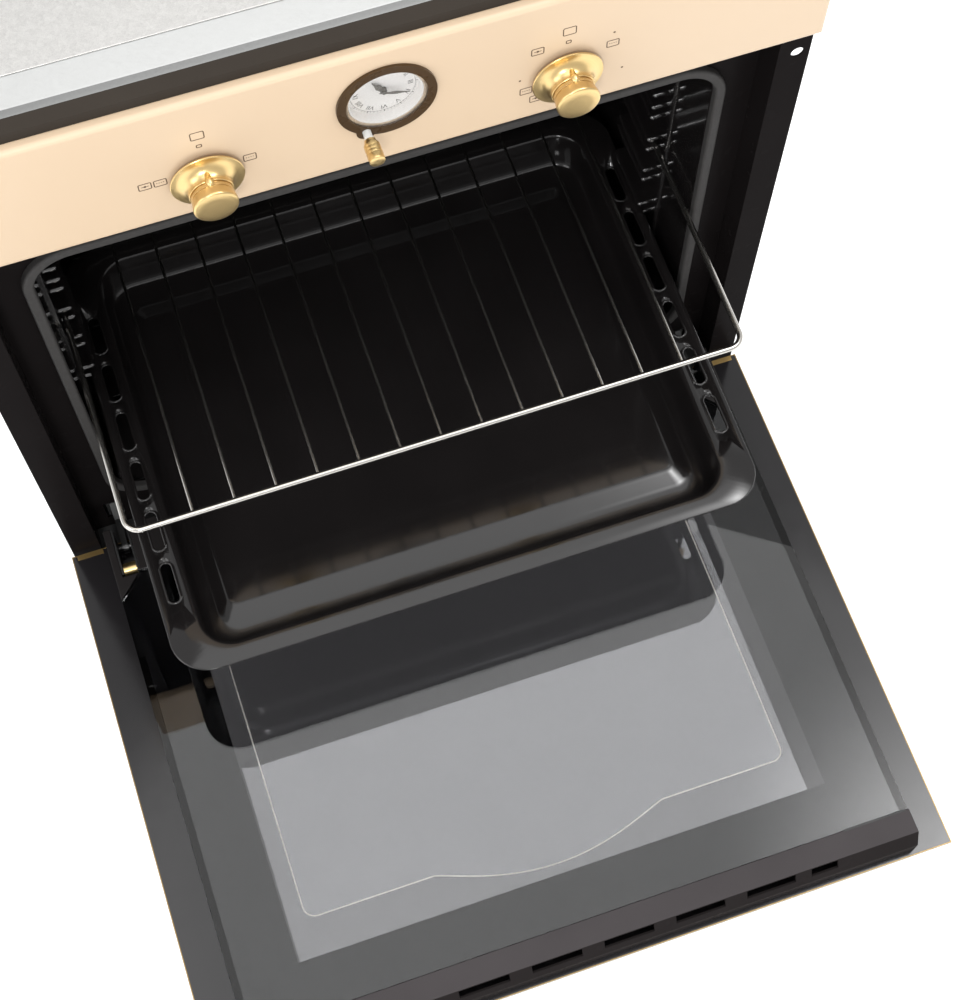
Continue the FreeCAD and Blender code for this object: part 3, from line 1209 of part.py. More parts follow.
def build():
    """Make and write every sub-part."""
    os.makedirs("parts", exist_ok=True)
    side = make_side_panel()
    wall = make_cavity_wall()
    pieces = {
        "base_pan": make_base_pan(),
        "right_side_panel": side,
        "left_side_panel": mirror_x(side),
        "back_panel": make_back_panel(),
        "top_cover": make_top_cover(),
        "top_front_rail": make_top_front_rail(),
        "front_frame": make_front_frame(),
        "control_panel": make_control_panel(),
        "cavity_wrapper": make_cavity_wrapper(),
        "cavity_right_wall": wall,
        "cavity_left_wall": mirror_x(wall),
        "floor_plate": make_floor_plate(),
        "insulation_blanket": make_insulation_blanket(),
        "door_seal": make_door_seal(),
        "wire_rack": make_wire_rack(),
        "baking_tray": make_baking_tray(),
        "door_outer_glass": make_door_outer_glass(),
        "door_inner_glass": make_door_inner_glass(),
        "door_side_rails": both_sides(make_door_side_rail()),
        "door_bottom_rail": make_door_bottom_rail(),
        "door_top_trim": make_door_top_trim(),
        "hinge_arms": both_sides(make_hinge_arm()),
        "hinge_receivers": both_sides(make_hinge_receiver()),
        "hinge_housings": both_sides(make_hinge_housing()),
        "hinge_pins": both_sides(make_hinge_pin()),
        "hinge_rollers": both_sides(make_hinge_roller()),
        "hinge_springs": both_sides(make_hinge_spring()),
        "handle_bar": make_handle_bar(),
        "handle_posts": both_sides(make_handle_post()),
        "left_knob": make_knob(-KNOB_X),
        "right_knob": make_knob(KNOB_X),
        "left_spindle": make_spindle(-KNOB_X),
        "right_spindle": make_spindle(KNOB_X),
        "function_switch": make_function_switch(),
        "gas_thermostat_valve": make_gas_valve(),
        "gas_plunger": make_gas_plunger(),
        "clock_bezel": make_clock_bezel(),
        "clock_lens": make_clock_lens(),
        "clock_dial": make_clock_dial(),
        "clock_movement": make_clock_movement(),
        "hour_hand": make_hour_hand(),
        "minute_hand": make_minute_hand(),
        "timer_stem": make_timer_stem(),
        "timer_cap": make_timer_cap(),
        "control_shelf": make_control_shelf(),
        "oven_burner": make_oven_burner(),
        "burner_supply_pipe": make_burner_supply_pipe(),
        "gas_inlet": make_gas_inlet(),
        "gas_feed_pipe": make_gas_feed_pipe(),
        "ignition_probes": make_ignition_probes(),
        "grill_element": make_grill_element(),
        "lamp_housing": make_lamp_housing(),
        "lamp_lens": make_lamp_lens(),
        "fan_cover": make_fan_cover(),
        "convection_fan": make_convection_fan(),
        "fan_motor": make_fan_motor(),
        "blower_housing": make_blower_housing(),
        "blower_motor": make_blower_motor(),
        "blower_wheel": make_blower_wheel(),
        "terminal_block": make_terminal_block(),
    }
    for name, shape in pieces.items():
        save(name, shape)


build()
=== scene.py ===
"""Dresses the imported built-in oven for its studio picture.

Lengths are in millimetres unless a docstring says otherwise.
"""
import json
import logging
import math
from dataclasses import dataclass
from enum import Enum
from typing import Callable, Iterable, Sequence

import bmesh
import bpy
from mathutils import Matrix, Vector

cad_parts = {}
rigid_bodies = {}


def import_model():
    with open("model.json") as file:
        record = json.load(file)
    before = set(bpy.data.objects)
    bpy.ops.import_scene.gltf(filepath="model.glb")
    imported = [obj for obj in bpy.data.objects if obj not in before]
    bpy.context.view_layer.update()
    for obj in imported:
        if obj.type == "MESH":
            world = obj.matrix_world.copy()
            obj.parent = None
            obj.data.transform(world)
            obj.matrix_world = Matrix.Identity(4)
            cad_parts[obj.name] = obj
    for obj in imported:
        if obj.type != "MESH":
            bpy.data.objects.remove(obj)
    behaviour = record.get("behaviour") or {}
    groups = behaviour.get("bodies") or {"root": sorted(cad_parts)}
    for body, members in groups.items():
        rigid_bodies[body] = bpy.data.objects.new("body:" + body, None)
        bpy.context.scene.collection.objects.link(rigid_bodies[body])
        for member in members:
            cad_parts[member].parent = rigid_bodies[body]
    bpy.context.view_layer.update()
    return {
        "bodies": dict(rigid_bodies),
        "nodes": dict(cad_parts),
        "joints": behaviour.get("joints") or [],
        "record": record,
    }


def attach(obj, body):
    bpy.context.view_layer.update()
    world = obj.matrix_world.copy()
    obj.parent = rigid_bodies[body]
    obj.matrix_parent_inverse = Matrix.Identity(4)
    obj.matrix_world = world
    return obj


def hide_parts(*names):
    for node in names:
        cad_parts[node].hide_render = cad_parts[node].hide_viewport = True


LOG = logging.getLogger("oven")
MM = 0.001
FACE = -277.0

Colour = tuple[float, float, float]
Spot = tuple[float, float, float]
Sizes = tuple[float, float, float]
Socket = bpy.types.NodeSocket
Material = bpy.types.Material
Piece = bpy.types.Object


class Body(str, Enum):
    """Bodies of the frame that the new pieces ride on."""

    OVEN = "oven_body"
    DOOR = "door"
    TRAY = "baking_tray"
    LEFT_KNOB = "function_knob"
    RIGHT_KNOB = "gas_knob"
    TIMER = "timer_knob"


class Brush(Enum):
    """Direction of the fine lines that polishing leaves."""

    ALONG_X = (6.0, 900.0, 900.0)
    ALONG_Y = (900.0, 6.0, 900.0)
    ALL_WAYS = (700.0, 700.0, 700.0)


def at(x: float, y: float, z: float) -> Vector:
    """Point in metres from millimetres, with y counted back from the panel's face."""
    return Vector((x * MM, (FACE + y) * MM, z * MM))


def upright(x: float, y: float, z: float) -> Matrix:
    """Move that stands a level print up at a place on the front."""
    return Matrix.Translation(at(x, y, z)) @ Matrix.Rotation(math.pi / 2, 4, "X")


def toned(colour: Colour, factor: float) -> Colour:
    """Colour made darker or lighter by a factor, up to full white."""
    return tuple(min(1.0, c * factor) for c in colour)


class Weaver:
    """Builds one procedural material, node by node."""

    def __init__(self, name: str) -> None:
        """Start a material with an empty tree and a principled shader.

        Args:
            name: name of the material.
        """
        self.material = bpy.data.materials.new(name)
        self.material.use_nodes = True
        self.tree = self.material.node_tree
        self.tree.nodes.clear()
        out = self.tree.nodes.new("ShaderNodeOutputMaterial")
        self.shader = self.tree.nodes.new("ShaderNodeBsdfPrincipled")
        self.tree.links.new(self.shader.outputs[0], out.inputs[0])
        self.coords = self.tree.nodes.new("ShaderNodeTexCoord").outputs["Object"]

    def put(self, **values: float | Sequence[float]) -> None:
        """Set sockets of the shader, with spaces in their names written as underscores."""
        for key, value in values.items():
            self.shader.inputs[key.replace("_", " ")].default_value = value

    def node(self, kind: str, **values: float | Sequence[float]) -> bpy.types.Node:
        """Add a node.

        Args:
            kind: node type without its common prefix.
            values: numbers for its sockets.

        Returns:
            The new node.
        """
        made = self.tree.nodes.new("ShaderNode" + kind)
        for key, value in values.items():
            made.inputs[key.replace("_", " ")].default_value = value
        return made

    def link(self, source: Socket, target: Socket) -> None:
        """Join two sockets."""
        self.tree.links.new(source, target)

    def colour(self, source: Socket) -> None:
        """Drive the base colour."""
        self.link(source, self.shader.inputs["Base Color"])

    def shades(self, factor: Socket, colour: Colour, low: float, high: float = 1.0) -> None:
        """Drive the base colour between two shares of one tone."""
        self.colour(self.ramp(factor, toned(colour, low), toned(colour, high)))

    def gloss(self, factor: Socket, middle: float, low: float, high: float) -> None:
        """Drive the roughness between two shares of a middle value.

        Args:
            factor: noise whose middle part drives it.
            middle: the value.
            low: least share.
            high: greatest share.
        """
        made = self.node("MapRange", From_Min=0.3, From_Max=0.7, To_Min=middle * low, To_Max=middle * high)
        self.link(factor, made.inputs["Value"])
        self.link(made.outputs[0], self.shader.inputs["Roughness"])

    def stretched(self, scale: Sequence[float], place: Sequence[float] = (0, 0, 0)) -> Socket:
        """Object coordinates, scaled per axis and moved.

        Args:
            scale: factor per axis.
            place: shift in metres.

        Returns:
            The coordinates.
        """
        made = self.node("Mapping", Location=place, Scale=scale)
        self.link(self.coords, made.inputs["Vector"])
        return made.outputs[0]

    def noise(self, scale: float, detail: float = 3.0, vector: Socket | None = None) -> Socket:
        """Soft noise.

        Args:
            scale: waves per metre.
            detail: finer layers in it.
            vector: coordinates to use in place of the object's own.

        Returns:
            The noise as a factor.
        """
        made = self.node("TexNoise", Scale=scale, Detail=detail)
        self.link(vector or self.coords, made.inputs["Vector"])
        return made.outputs[0]

    def ramp(self, factor: Socket, low: Colour, high: Colour,
             span: tuple[float, float] = (0.3, 0.7)) -> Socket:
        """Colour that goes from one tone to another.

        Args:
            factor: what drives it.
            low: tone at the start of the span.
            high: tone at its end.
            span: part of the factor over which it changes.

        Returns:
            The colour.
        """
        made = self.node("ValToRGB")
        first, last = made.color_ramp.elements
        first.position, last.position = span
        first.color = (*low, 1.0)
        last.color = (*high, 1.0)
        self.link(factor, made.inputs[0])
        return made.outputs[0]

    def change(self, axis: int, place: float, run: float, tones: Sequence[Socket]) -> None:
        """Paint a band of light or shade: turn the base colour from one tone to another up to a place along an
        axis.

        Args:
            axis: 0, 1 or 2.
            place: where the second colour is reached.
            run: length of the change.
            tones: the two colours.
        """
        split = self.node("SeparateXYZ")
        self.link(self.coords, split.inputs[0])
        reach = self.node("MapRange", From_Min=(place - run) * MM, From_Max=place * MM)
        self.link(split.outputs[axis], reach.inputs["Value"])
        mix = self.node("Mix")
        mix.data_type = "RGBA"
        # Sockets 6 and 7 of the node take its two colours
        for socket, source in ((0, reach.outputs[0]), (6, tones[0]), (7, tones[1])):
            self.link(source, mix.inputs[socket])
        self.colour(mix.outputs[2])

    def relief(self, height: Socket, depth: float, strength: float, edge: float = 0.0) -> None:
        """Fine surface relief, over edges that look rounded.

        Args:
            height: factor that gives the relief.
            depth: its depth.
            strength: how strongly it shows.
            edge: radius that sharp edges seem to have.
        """
        bump = self.node("Bump", Strength=strength, Distance=depth * MM)
        self.link(height, bump.inputs["Height"])
        if edge > 0:
            soft = self.node("Bevel", Radius=edge * MM)
            soft.samples = 6
            self.link(soft.outputs[0], bump.inputs["Normal"])
        self.link(bump.outputs[0], self.shader.inputs["Normal"])


@dataclass(frozen=True)
class Finish:
    """Look of a surface, made as one procedural material."""

    name: str

    def build(self) -> Material:
        """Make the material.

        Returns:
            The material.
        """
        w = Weaver(self.name)
        self.weave(w)
        return w.material

    def weave(self, w: Weaver) -> None:
        """Wire the look into the tree of the material."""
        raise NotImplementedError


@dataclass(frozen=True)
class Enamel(Finish):
    """Fired enamel or paint with a slight orange-peel surface."""

    colour: Colour
    rough: float = 0.08
    ior: float = 1.55
    tone: float = 0.04
    peel: float = 0.12
    edge: float = 0.8
    wear: float = 0.17

    def weave(self, w: Weaver) -> None:
        """Wire the look.

        Args:
            w: tree of the material.
        """
        w.shades(w.noise(14.0), self.colour, 1 - self.tone, 1 + self.tone)
        w.gloss(w.noise(60.0), self.rough, 1 - self.wear, 1 + self.wear)
        w.put(IOR=self.ior)
        w.relief(w.noise(260.0, 1.0), self.peel, 0.12, self.edge)


@dataclass(frozen=True)
class FrameCoat(Finish):
    """Dull coat with painted light: past a place along one axis its colour turns to a lighter tone, for the
    faces that the light falls on.
    """

    colour: Colour = (0.0095, 0.0080, 0.0080)
    lit_tone: Colour = (0.044, 0.037, 0.031)
    lit_from: float = 586.5
    axis: int = 2
    rough: float = 0.24
    ior: float = 1.04

    def weave(self, w: Weaver) -> None:
        """Wire the look.

        Args:
            w: tree of the material.
        """
        cloud = w.noise(18.0)
        # The second tone is painted light on the faces turned to the lamps.
        tones = [w.ramp(cloud, toned(tone, 0.9), tone) for tone in (self.colour, self.lit_tone)]
        w.change(self.axis, self.lit_from, 0.2, tones)
        w.gloss(w.noise(60.0), self.rough, 0.85, 1.2)
        w.put(IOR=self.ior)
        w.relief(w.noise(260.0, 1.0), 0.05, 0.10, 0.8)


@dataclass(frozen=True)
class ZincSheet(Finish):
    """Galvanised sheet with crystals and a fine grain, and a front band that can be painted darker as shade."""

    colour: Colour = (0.74, 0.735, 0.715)
    grain: float = 0.10
    rough: float = 0.42
    shade: float = 1.0
    shade_y: float = -252.7

    def weave(self, w: Weaver) -> None:
        """Wire the look.

        Args:
            w: tree of the material.
        """
        crystals = w.node("TexVoronoi", Scale=420.0)
        w.link(w.coords, crystals.inputs["Vector"])
        split = w.node("SeparateColor")
        w.link(crystals.outputs["Color"], split.inputs[0])
        mottle = w.node("Mix", Factor=0.8)
        w.link(split.outputs[0], mottle.inputs[2])
        w.link(w.noise(1500.0, 2.0), mottle.inputs[3])
        # Painted shade: in front of shade_y the colour drops to this darker share.
        dark = toned(self.colour, self.shade)
        pairs = ((dark, dark), (toned(self.colour, 1 - self.grain), toned(self.colour, 1 + self.grain)))
        tones = [w.ramp(mottle.outputs[0], low, high, (0.2, 0.8)) for low, high in pairs]
        w.change(1, self.shade_y, 0.5, tones)
        w.gloss(w.noise(700.0), self.rough, 0.85, 1.25)
        w.put(Metallic=0.85)
        w.relief(w.noise(1800.0, 2.0), 0.03, 0.06 + self.grain, 1.2)


@dataclass(frozen=True)
class BrushedMetal(Finish):
    """Bare metal with fine polishing lines along one direction."""

    colour: Colour
    rough: float = 0.25
    brush: Brush = Brush.ALONG_X
    edge: float = 0.4

    def weave(self, w: Weaver) -> None:
        """Wire the look.

        Args:
            w: tree of the material.
        """
        lines = w.noise(1.0, 4.0, w.stretched(self.brush.value))
        w.shades(lines, self.colour, 0.95, 1.03)
        w.gloss(lines, self.rough, 0.9, 1.12)
        w.put(Metallic=1.0)
        w.relief(lines, 0.01, 0.06, self.edge)


@dataclass(frozen=True)
class TurnedMetal(Finish):
    """Metal polished on a lathe, with rings about an axis along Y."""

    colour: Colour
    axis: tuple[float, float]
    rough: float = 0.24

    def weave(self, w: Weaver) -> None:
        """Wire the look.

        Args:
            w: tree of the material.
        """
        x, z = self.axis
        split = w.node("SeparateXYZ")
        w.link(w.stretched((1, 1, 1), (-x * MM, 0, -z * MM)), split.inputs[0])
        flat = w.node("CombineXYZ")
        w.link(split.outputs[0], flat.inputs[0])
        w.link(split.outputs[2], flat.inputs[1])
        reach = w.node("VectorMath")
        reach.operation = "LENGTH"
        w.link(flat.outputs[0], reach.inputs[0])
        rings = w.node("CombineXYZ")
        w.link(reach.outputs["Value"], rings.inputs[0])
        w.link(split.outputs[1], rings.inputs[1])
        lines = w.noise(1600.0, 3.0, rings.outputs[0])
        w.shades(lines, self.colour, 0.96, 1.03)
        w.gloss(lines, self.rough, 0.9, 1.12)
        w.put(Metallic=1.0)
        w.relief(lines, 0.01, 0.05, 0.25)


@dataclass(frozen=True)
class Pane(Finish):
    """Sheet of glass or clear plastic with a faint wave in it."""

    tint: Colour
    ior: float = 1.45
    rough: float = 0.0
    clear: float = 1.0

    def weave(self, w: Weaver) -> None:
        """Wire the look.

        Args:
            w: tree of the material.
        """
        w.shades(w.noise(9.0), self.tint, 0.985)
        w.put(Roughness=self.rough, IOR=self.ior, Transmission_Weight=self.clear)
        w.relief(w.noise(7.0, 1.0), 0.02, 0.02)


@dataclass(frozen=True)
class ClearCap(Finish):
    """Thin clear cover that shows mostly by its gloss."""

    veil: float = 0.10
    gloss: float = 2.2

    def weave(self, w: Weaver) -> None:
        """Wire the look.

        Args:
            w: tree of the material.
        """
        w.colour(w.ramp(w.noise(30.0), (0.30, 0.30, 0.29), (0.34, 0.34, 0.33)))
        w.put(Roughness=0.03, IOR=self.gloss, Alpha=self.veil)
        w.relief(w.noise(40.0, 1.0), 0.02, 0.05, 0.3)


@dataclass(frozen=True)
class Film(Finish):
    """Thin reflecting coat on glass that lets part of the light through."""

    colour: Colour = (0.82, 0.82, 0.84)
    cover: float = 0.065

    def weave(self, w: Weaver) -> None:
        """Wire the look.

        Args:
            w: tree of the material.
        """
        w.shades(w.noise(8.0), self.colour, 0.985)
        w.put(Metallic=1.0, Roughness=0.03, Alpha=self.cover)


@dataclass(frozen=True)
class Moulded(Finish):
    """Rubber, plastic or print with a fine grain."""

    colour: Colour
    rough: float = 0.5
    grain: float = 900.0
    depth: float = 0.05
    ior: float = 1.45

    def weave(self, w: Weaver) -> None:
        """Wire the look.

        Args:
            w: tree of the material.
        """
        fine = w.noise(self.grain)
        w.shades(fine, self.colour, 0.9, 1.08)
        w.gloss(w.noise(90.0), self.rough, 0.9, 1.1)
        w.put(IOR=self.ior)
        w.relief(fine, self.depth, 0.2, 0.3)


@dataclass(frozen=True)
class Wool(Finish):
    """Loose mineral fibre."""

    colour: Colour = (0.70, 0.60, 0.40)

    def weave(self, w: Weaver) -> None:
        """Wire the look.

        Args:
            w: tree of the material.
        """
        strands = w.noise(1.0, 6.0, w.stretched((900.0, 160.0, 420.0)))
        w.shades(strands, self.colour, 0.65)
        w.put(Roughness=0.95)
        w.relief(strands, 1.5, 0.6)


@dataclass(frozen=True)
class Ring:
    """Level rectangle with round corners."""

    half_w: float
    low: float
    high: float
    corner: float
    z: float


class Bench:
    """Modelling steps with Blender's operators, shared by the pieces."""

    @staticmethod
    def clear() -> None:
        """Leave edit mode and deselect everything."""
        if bpy.context.object is not None and bpy.context.object.mode != "OBJECT":
            bpy.ops.object.mode_set(mode="OBJECT")
        bpy.ops.object.select_all(action="DESELECT")

    @staticmethod
    def edit(kind: str = "VERT") -> None:
        """Enter edit mode with nothing selected.

        Args:
            kind: what is selected next.
        """
        bpy.ops.object.mode_set(mode="EDIT")
        bpy.ops.mesh.select_mode(type=kind)
        bpy.ops.mesh.select_all(action="DESELECT")

    @staticmethod
    def everything() -> None:
        """Select the whole edited mesh."""
        bpy.ops.mesh.select_all(action="SELECT")

    @staticmethod
    def settle() -> None:
        """Put the object's place, turn and scale into its mesh."""
        bpy.ops.object.transform_apply(location=True, rotation=True, scale=True)

    @staticmethod
    def start(shape: Callable[..., set[str]], scale: Sizes = (1.0, 1.0, 1.0), **values: object) -> Piece:
        """Add a basic shape, with its place and scale in its mesh.

        Args:
            shape: the operator that adds it.
            scale: factor per axis.
            values: the operator's settings.

        Returns:
            The new object.
        """
        Bench.clear()
        shape(**values)
        piece = bpy.context.object
        piece.scale = scale
        Bench.settle()
        return piece

    @staticmethod
    def pick(kind: str, test: Callable[[Vector], bool]) -> None:
        """Select vertices, edges or faces of the edited mesh by their middle.

        Args:
            kind: verts, edges or faces.
            test: says of a middle point whether it is taken.
        """
        mesh = bmesh.from_edit_mesh(bpy.context.object.data)
        for part in getattr(mesh, kind):
            corners = [part] if kind == "verts" else part.verts
            middle = sum((v.co for v in corners), Vector()) / len(corners)
            part.select_set(bool(test(middle)))
        mesh.select_flush_mode()
        bmesh.update_edit_mesh(bpy.context.object.data)

    @staticmethod
    def done(name: str, angle: float = 35.0) -> Piece:
        """Close the piece being modelled.

        Args:
            name: name of the piece.
            angle: faces that meet at less than this angle are shaded smooth.

        Returns:
            The object, at the origin with its place in its mesh.
        """
        piece = bpy.context.object
        if piece.mode != "EDIT":
            bpy.ops.object.mode_set(mode="EDIT")
        Bench.everything()
        bpy.ops.mesh.remove_doubles(threshold=2e-6)
        bpy.ops.mesh.normals_make_consistent(inside=False)
        bpy.ops.object.mode_set(mode="OBJECT")
        Bench.settle()
        bpy.ops.object.shade_smooth_by_angle(angle=math.radians(angle))
        piece.name = name
        piece.data.name = name
        return piece

    @staticmethod
    def raised(name: str, height: float) -> Piece:
        """Give the edited plate a height and close it."""
        bpy.ops.mesh.extrude_region_move(TRANSFORM_OT_translate={"value": (0, 0, height * MM)})
        return Bench.done(name)

    @staticmethod
    def lined(name: str, line: float, height: float) -> Piece:
        """Leave only a line round the edited plate.

        Args:
            name: name of the piece.
            line: width of the line.
            height: its height.

        Returns:
            The line.
        """
        bpy.ops.mesh.inset(thickness=line * MM)
        bpy.ops.mesh.delete(type="FACE")
        Bench.everything()
        return Bench.raised(name, height)

    @staticmethod
    def apply(piece: Piece, kind: str, **values: object) -> None:
        """Add a modifier to a piece and apply it.

        Args:
            piece: what it changes.
            kind: the modifier's type.
            values: its settings.
        """
        bpy.context.view_layer.objects.active = piece
        made = piece.modifiers.new(kind.title(), kind)
        for key, value in values.items():
            setattr(made, key, value)
        bpy.ops.object.modifier_apply(modifier=made.name)

    @staticmethod
    def cut(piece: Piece, cutter: Piece) -> None:
        """Cut a piece with another one, which is then removed.

        Args:
            piece: what is cut.
            cutter: what is taken away from it.
        """
        Bench.clear()
        Bench.apply(piece, "BOOLEAN", operation="DIFFERENCE", object=cutter, solver="EXACT")
        bpy.data.objects.remove(cutter)

    @staticmethod
    def join(name: str, pieces: Iterable[Piece]) -> Piece:
        """Join several pieces into one.

        Args:
            name: name of the whole.
            pieces: what is joined, the one that stays first.

        Returns:
            The whole.
        """
        Bench.clear()
        parts = list(pieces)
        for part in parts:
            part.select_set(True)
        bpy.context.view_layer.objects.active = parts[0]
        if len(parts) > 1:
            bpy.ops.object.join()
        parts[0].name = name
        parts[0].data.name = name
        return parts[0]

    @staticmethod
    def turned(name: str, x: float, z: float, profile: Sequence[tuple[float, float]],
               rounds: int = 96) -> Piece:
        """Lathe work about an axis along Y.

        Args:
            name: name of the piece.
            x: axis place.
            z: axis place.
            profile: radius and height off the panel, from one end to the other.
            rounds: points round the axis.

        Returns:
            The closed piece.
        """
        radius, height = profile[0]
        Bench.start(bpy.ops.mesh.primitive_circle_add, vertices=rounds, radius=radius * MM,
                    location=at(x, -height, z), rotation=(math.pi / 2, 0, 0))
        Bench.edit()
        Bench.everything()
        for wide, high in profile[1:]:
            step = (0.0, (height - high) * MM, 0.0)
            bpy.ops.mesh.extrude_region_move(TRANSFORM_OT_translate={"value": step})
            size = wide / radius
            bpy.ops.transform.resize(value=(size, 1.0, size), center_override=at(x, -high, z))
            radius, height = wide, high
        if profile[0] != profile[-1]:
            Bench.everything()
            bpy.ops.mesh.select_non_manifold(extend=False)
            bpy.ops.mesh.fill_holes(sides=0)
        return Bench.done(name)

    @staticmethod
    def plate(width: float, length: float, middle: Vector) -> Piece:
        """Start a level plate, and edit it.

        Args:
            width: size along X.
            length: size along Y.
            middle: its place in metres.

        Returns:
            The plate, in edit mode and selected.
        """
        scale = (width * MM, length * MM, 1.0)
        piece = Bench.start(bpy.ops.mesh.primitive_plane_add, scale, size=1.0, location=middle)
        Bench.edit()
        Bench.everything()
        return piece

    @staticmethod
    def pressed(name: str, rings: Sequence[Ring], rounds: int = 12) -> Piece:
        """Sheet pressed through a row of rings and closed at the last one.

        Args:
            name: name of the piece.
            rings: outlines from the rim to the floor.
            rounds: steps in each round corner.

        Returns:
            The sheet, facing up.
        """
        Bench.clear()
        for i, ring in enumerate(rings):
            middle = at(0, (ring.low + ring.high) / 2, ring.z)
            bpy.ops.mesh.primitive_plane_add(size=1.0, location=middle)
            if i == 0:
                Bench.settle()
                Bench.edit()
                Bench.everything()
            size = (2 * ring.half_w * MM, (ring.high - ring.low) * MM, 1.0)
            bpy.ops.transform.resize(value=size, center_override=middle)
            bpy.ops.mesh.bevel(offset=ring.corner * MM, affect="VERTICES", segments=rounds)
            bpy.ops.object.vertex_group_assign_new()
            if i < len(rings) - 1:
                bpy.ops.mesh.delete(type="ONLY_FACE")
        groups = [group.name for group in bpy.context.object.vertex_groups]
        for pair in zip(groups, groups[1:]):
            bpy.ops.mesh.select_all(action="DESELECT")
            for group in pair:
                bpy.ops.object.vertex_group_set_active(group=group)
                bpy.ops.object.vertex_group_select()
            bpy.ops.mesh.select_mode(type="EDGE")
            bpy.ops.mesh.bridge_edge_loops()
            bpy.ops.mesh.select_mode(type="VERT")
        bpy.context.object.vertex_groups.clear()
        piece = Bench.done(name, 50.0)
        if sum(f.normal.z * f.area for f in piece.data.polygons) < 0:
            Bench.edit()
            Bench.everything()
            bpy.ops.mesh.flip_normals()
            bpy.ops.object.mode_set(mode="OBJECT")
        return piece


class Kit:
    """Finishes by name, and the record of what was made."""

    def __init__(self, frame: dict) -> None:
        """Keep the frame and start without finishes."""
        self.frame = frame
        self.made: dict[str, Material] = {}

    def coat(self, piece: Piece, look: Finish) -> None:
        """Give a piece one finish, whose material is made at its first use.

        Args:
            piece: what is finished.
            look: the finish.
        """
        if look.name not in self.made:
            self.made[look.name] = look.build()
        piece.data.materials.clear()
        piece.data.materials.append(self.made[look.name])

    def dress(self, look: Finish, *nodes: str) -> None:
        """Give carried-over pieces their finish.

        Args:
            look: the finish.
            nodes: names of the pieces.
        """
        for name in nodes:
            self.coat(self.frame["nodes"][name], look)
            LOG.info("dressed %s with %s", name, look.name)

    def add(self, piece: Piece, look: Finish, body: Body, slot: str, *instead: str) -> None:
        """Finish a new piece, let it ride on a body and hide the carried-over pieces it replaces.

        Args:
            piece: the new piece.
            look: its finish.
            body: what it moves with.
            slot: not used.
            instead: carried-over pieces that it replaces.
        """
        self.coat(piece, look)
        if instead:
            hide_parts(*instead)
        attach(piece, body.value)
        LOG.info("made %s on %s", piece.name, body.value)


BLACK_TONE: Colour = (0.0085, 0.0075, 0.0075)
BRASS_TONE: Colour = (0.70, 0.51, 0.235)

CREAM = Enamel("cream_enamel", (0.612, 0.466, 0.322), 0.36, 1.5, 0.002, 0.0, 1.0, 0.02)
BLACK = Enamel("black_enamel", BLACK_TONE, 0.11, 1.5, 0.15, 0.03, 1.2)
WALL_BLACK = Enamel("wall_enamel", BLACK_TONE, 0.07, 2.0, 0.15, 0.03, 1.2)
# Painted light: the frame's top flange and the flat top of the door's trim take the lighter tone; the trim's
# slope is painted darker as shade.
FRAME_BLACK = FrameCoat("frame_enamel")
TRIM_BROWN = FrameCoat("trim_coat", (0.017, 0.0145, 0.0145), (0.064, 0.058, 0.060), -717.0, 1)
BROWN = Enamel("brown_coat", (0.018, 0.016, 0.016), 0.24, 1.36, 0.10, 0.06, 1.2)
LID_ZINC = ZincSheet("lid_zinc", (0.655, 0.645, 0.625), 0.13)
# Painted shade on the rail's front chamfer, in front of shade_y.
RAIL_ZINC = ZincSheet("rail_zinc", (0.685, 0.69, 0.68), 0.02, 0.40, 0.31)
CASE_ZINC = ZincSheet("case_zinc", (0.48, 0.485, 0.48), 0.15, 0.40)
BAR_BRASS = BrushedMetal("bar_brass", (0.80, 0.60, 0.30), 0.26)
FITTING_BRASS = BrushedMetal("fitting_brass", (0.78, 0.58, 0.27), 0.32, Brush.ALONG_Y)
GOLD_EDGE = BrushedMetal("gold_edge", (0.34, 0.23, 0.09), 0.42, Brush.ALONG_Y, 0.1)
CHROME = BrushedMetal("chrome_wire", (0.58, 0.56, 0.525), 0.22, Brush.ALL_WAYS, 0.0)
STEEL = BrushedMetal("zinc_steel", (0.62, 0.62, 0.60), 0.28, Brush.ALONG_Y)
HINGE_STEEL = BrushedMetal("hinge_steel", (0.10, 0.10, 0.10), 0.42, Brush.ALONG_Y)
HEATER = BrushedMetal("heater_tube", (0.16, 0.15, 0.14), 0.45, Brush.ALONG_Y)
CAST = Moulded("cast_metal", (0.38, 0.37, 0.36), 0.5, 700.0, 0.2)
BRONZE = Enamel("bronze_ring", (0.055, 0.030, 0.012), 0.30, 1.3, 0.12, 0.06, 0.3)
DIAL_WHITE = Moulded("dial_white", (0.79, 0.77, 0.75), 0.35, 1600.0, 0.01)
HAND_GREY = Moulded("hand_grey", (0.11, 0.10, 0.085), 0.4, 1600.0, 0.01)
INK = Moulded("print_ink", (0.09, 0.05, 0.025), 0.6, 2200.0, 0.005)
DIAL_INK = Moulded("dial_ink", (0.03, 0.028, 0.026), 0.6, 2200.0, 0.005)
CREAM_INK = Moulded("cream_ink", (0.90, 0.86, 0.79), 0.5, 2200.0, 0.005)
SEAL = Moulded("seal_rubber", (0.046, 0.044, 0.043), 0.55, 500.0, 0.08, 1.2)
BAKELITE = Moulded("moulded_black", (0.022, 0.022, 0.022), 0.45, 600.0, 0.06)
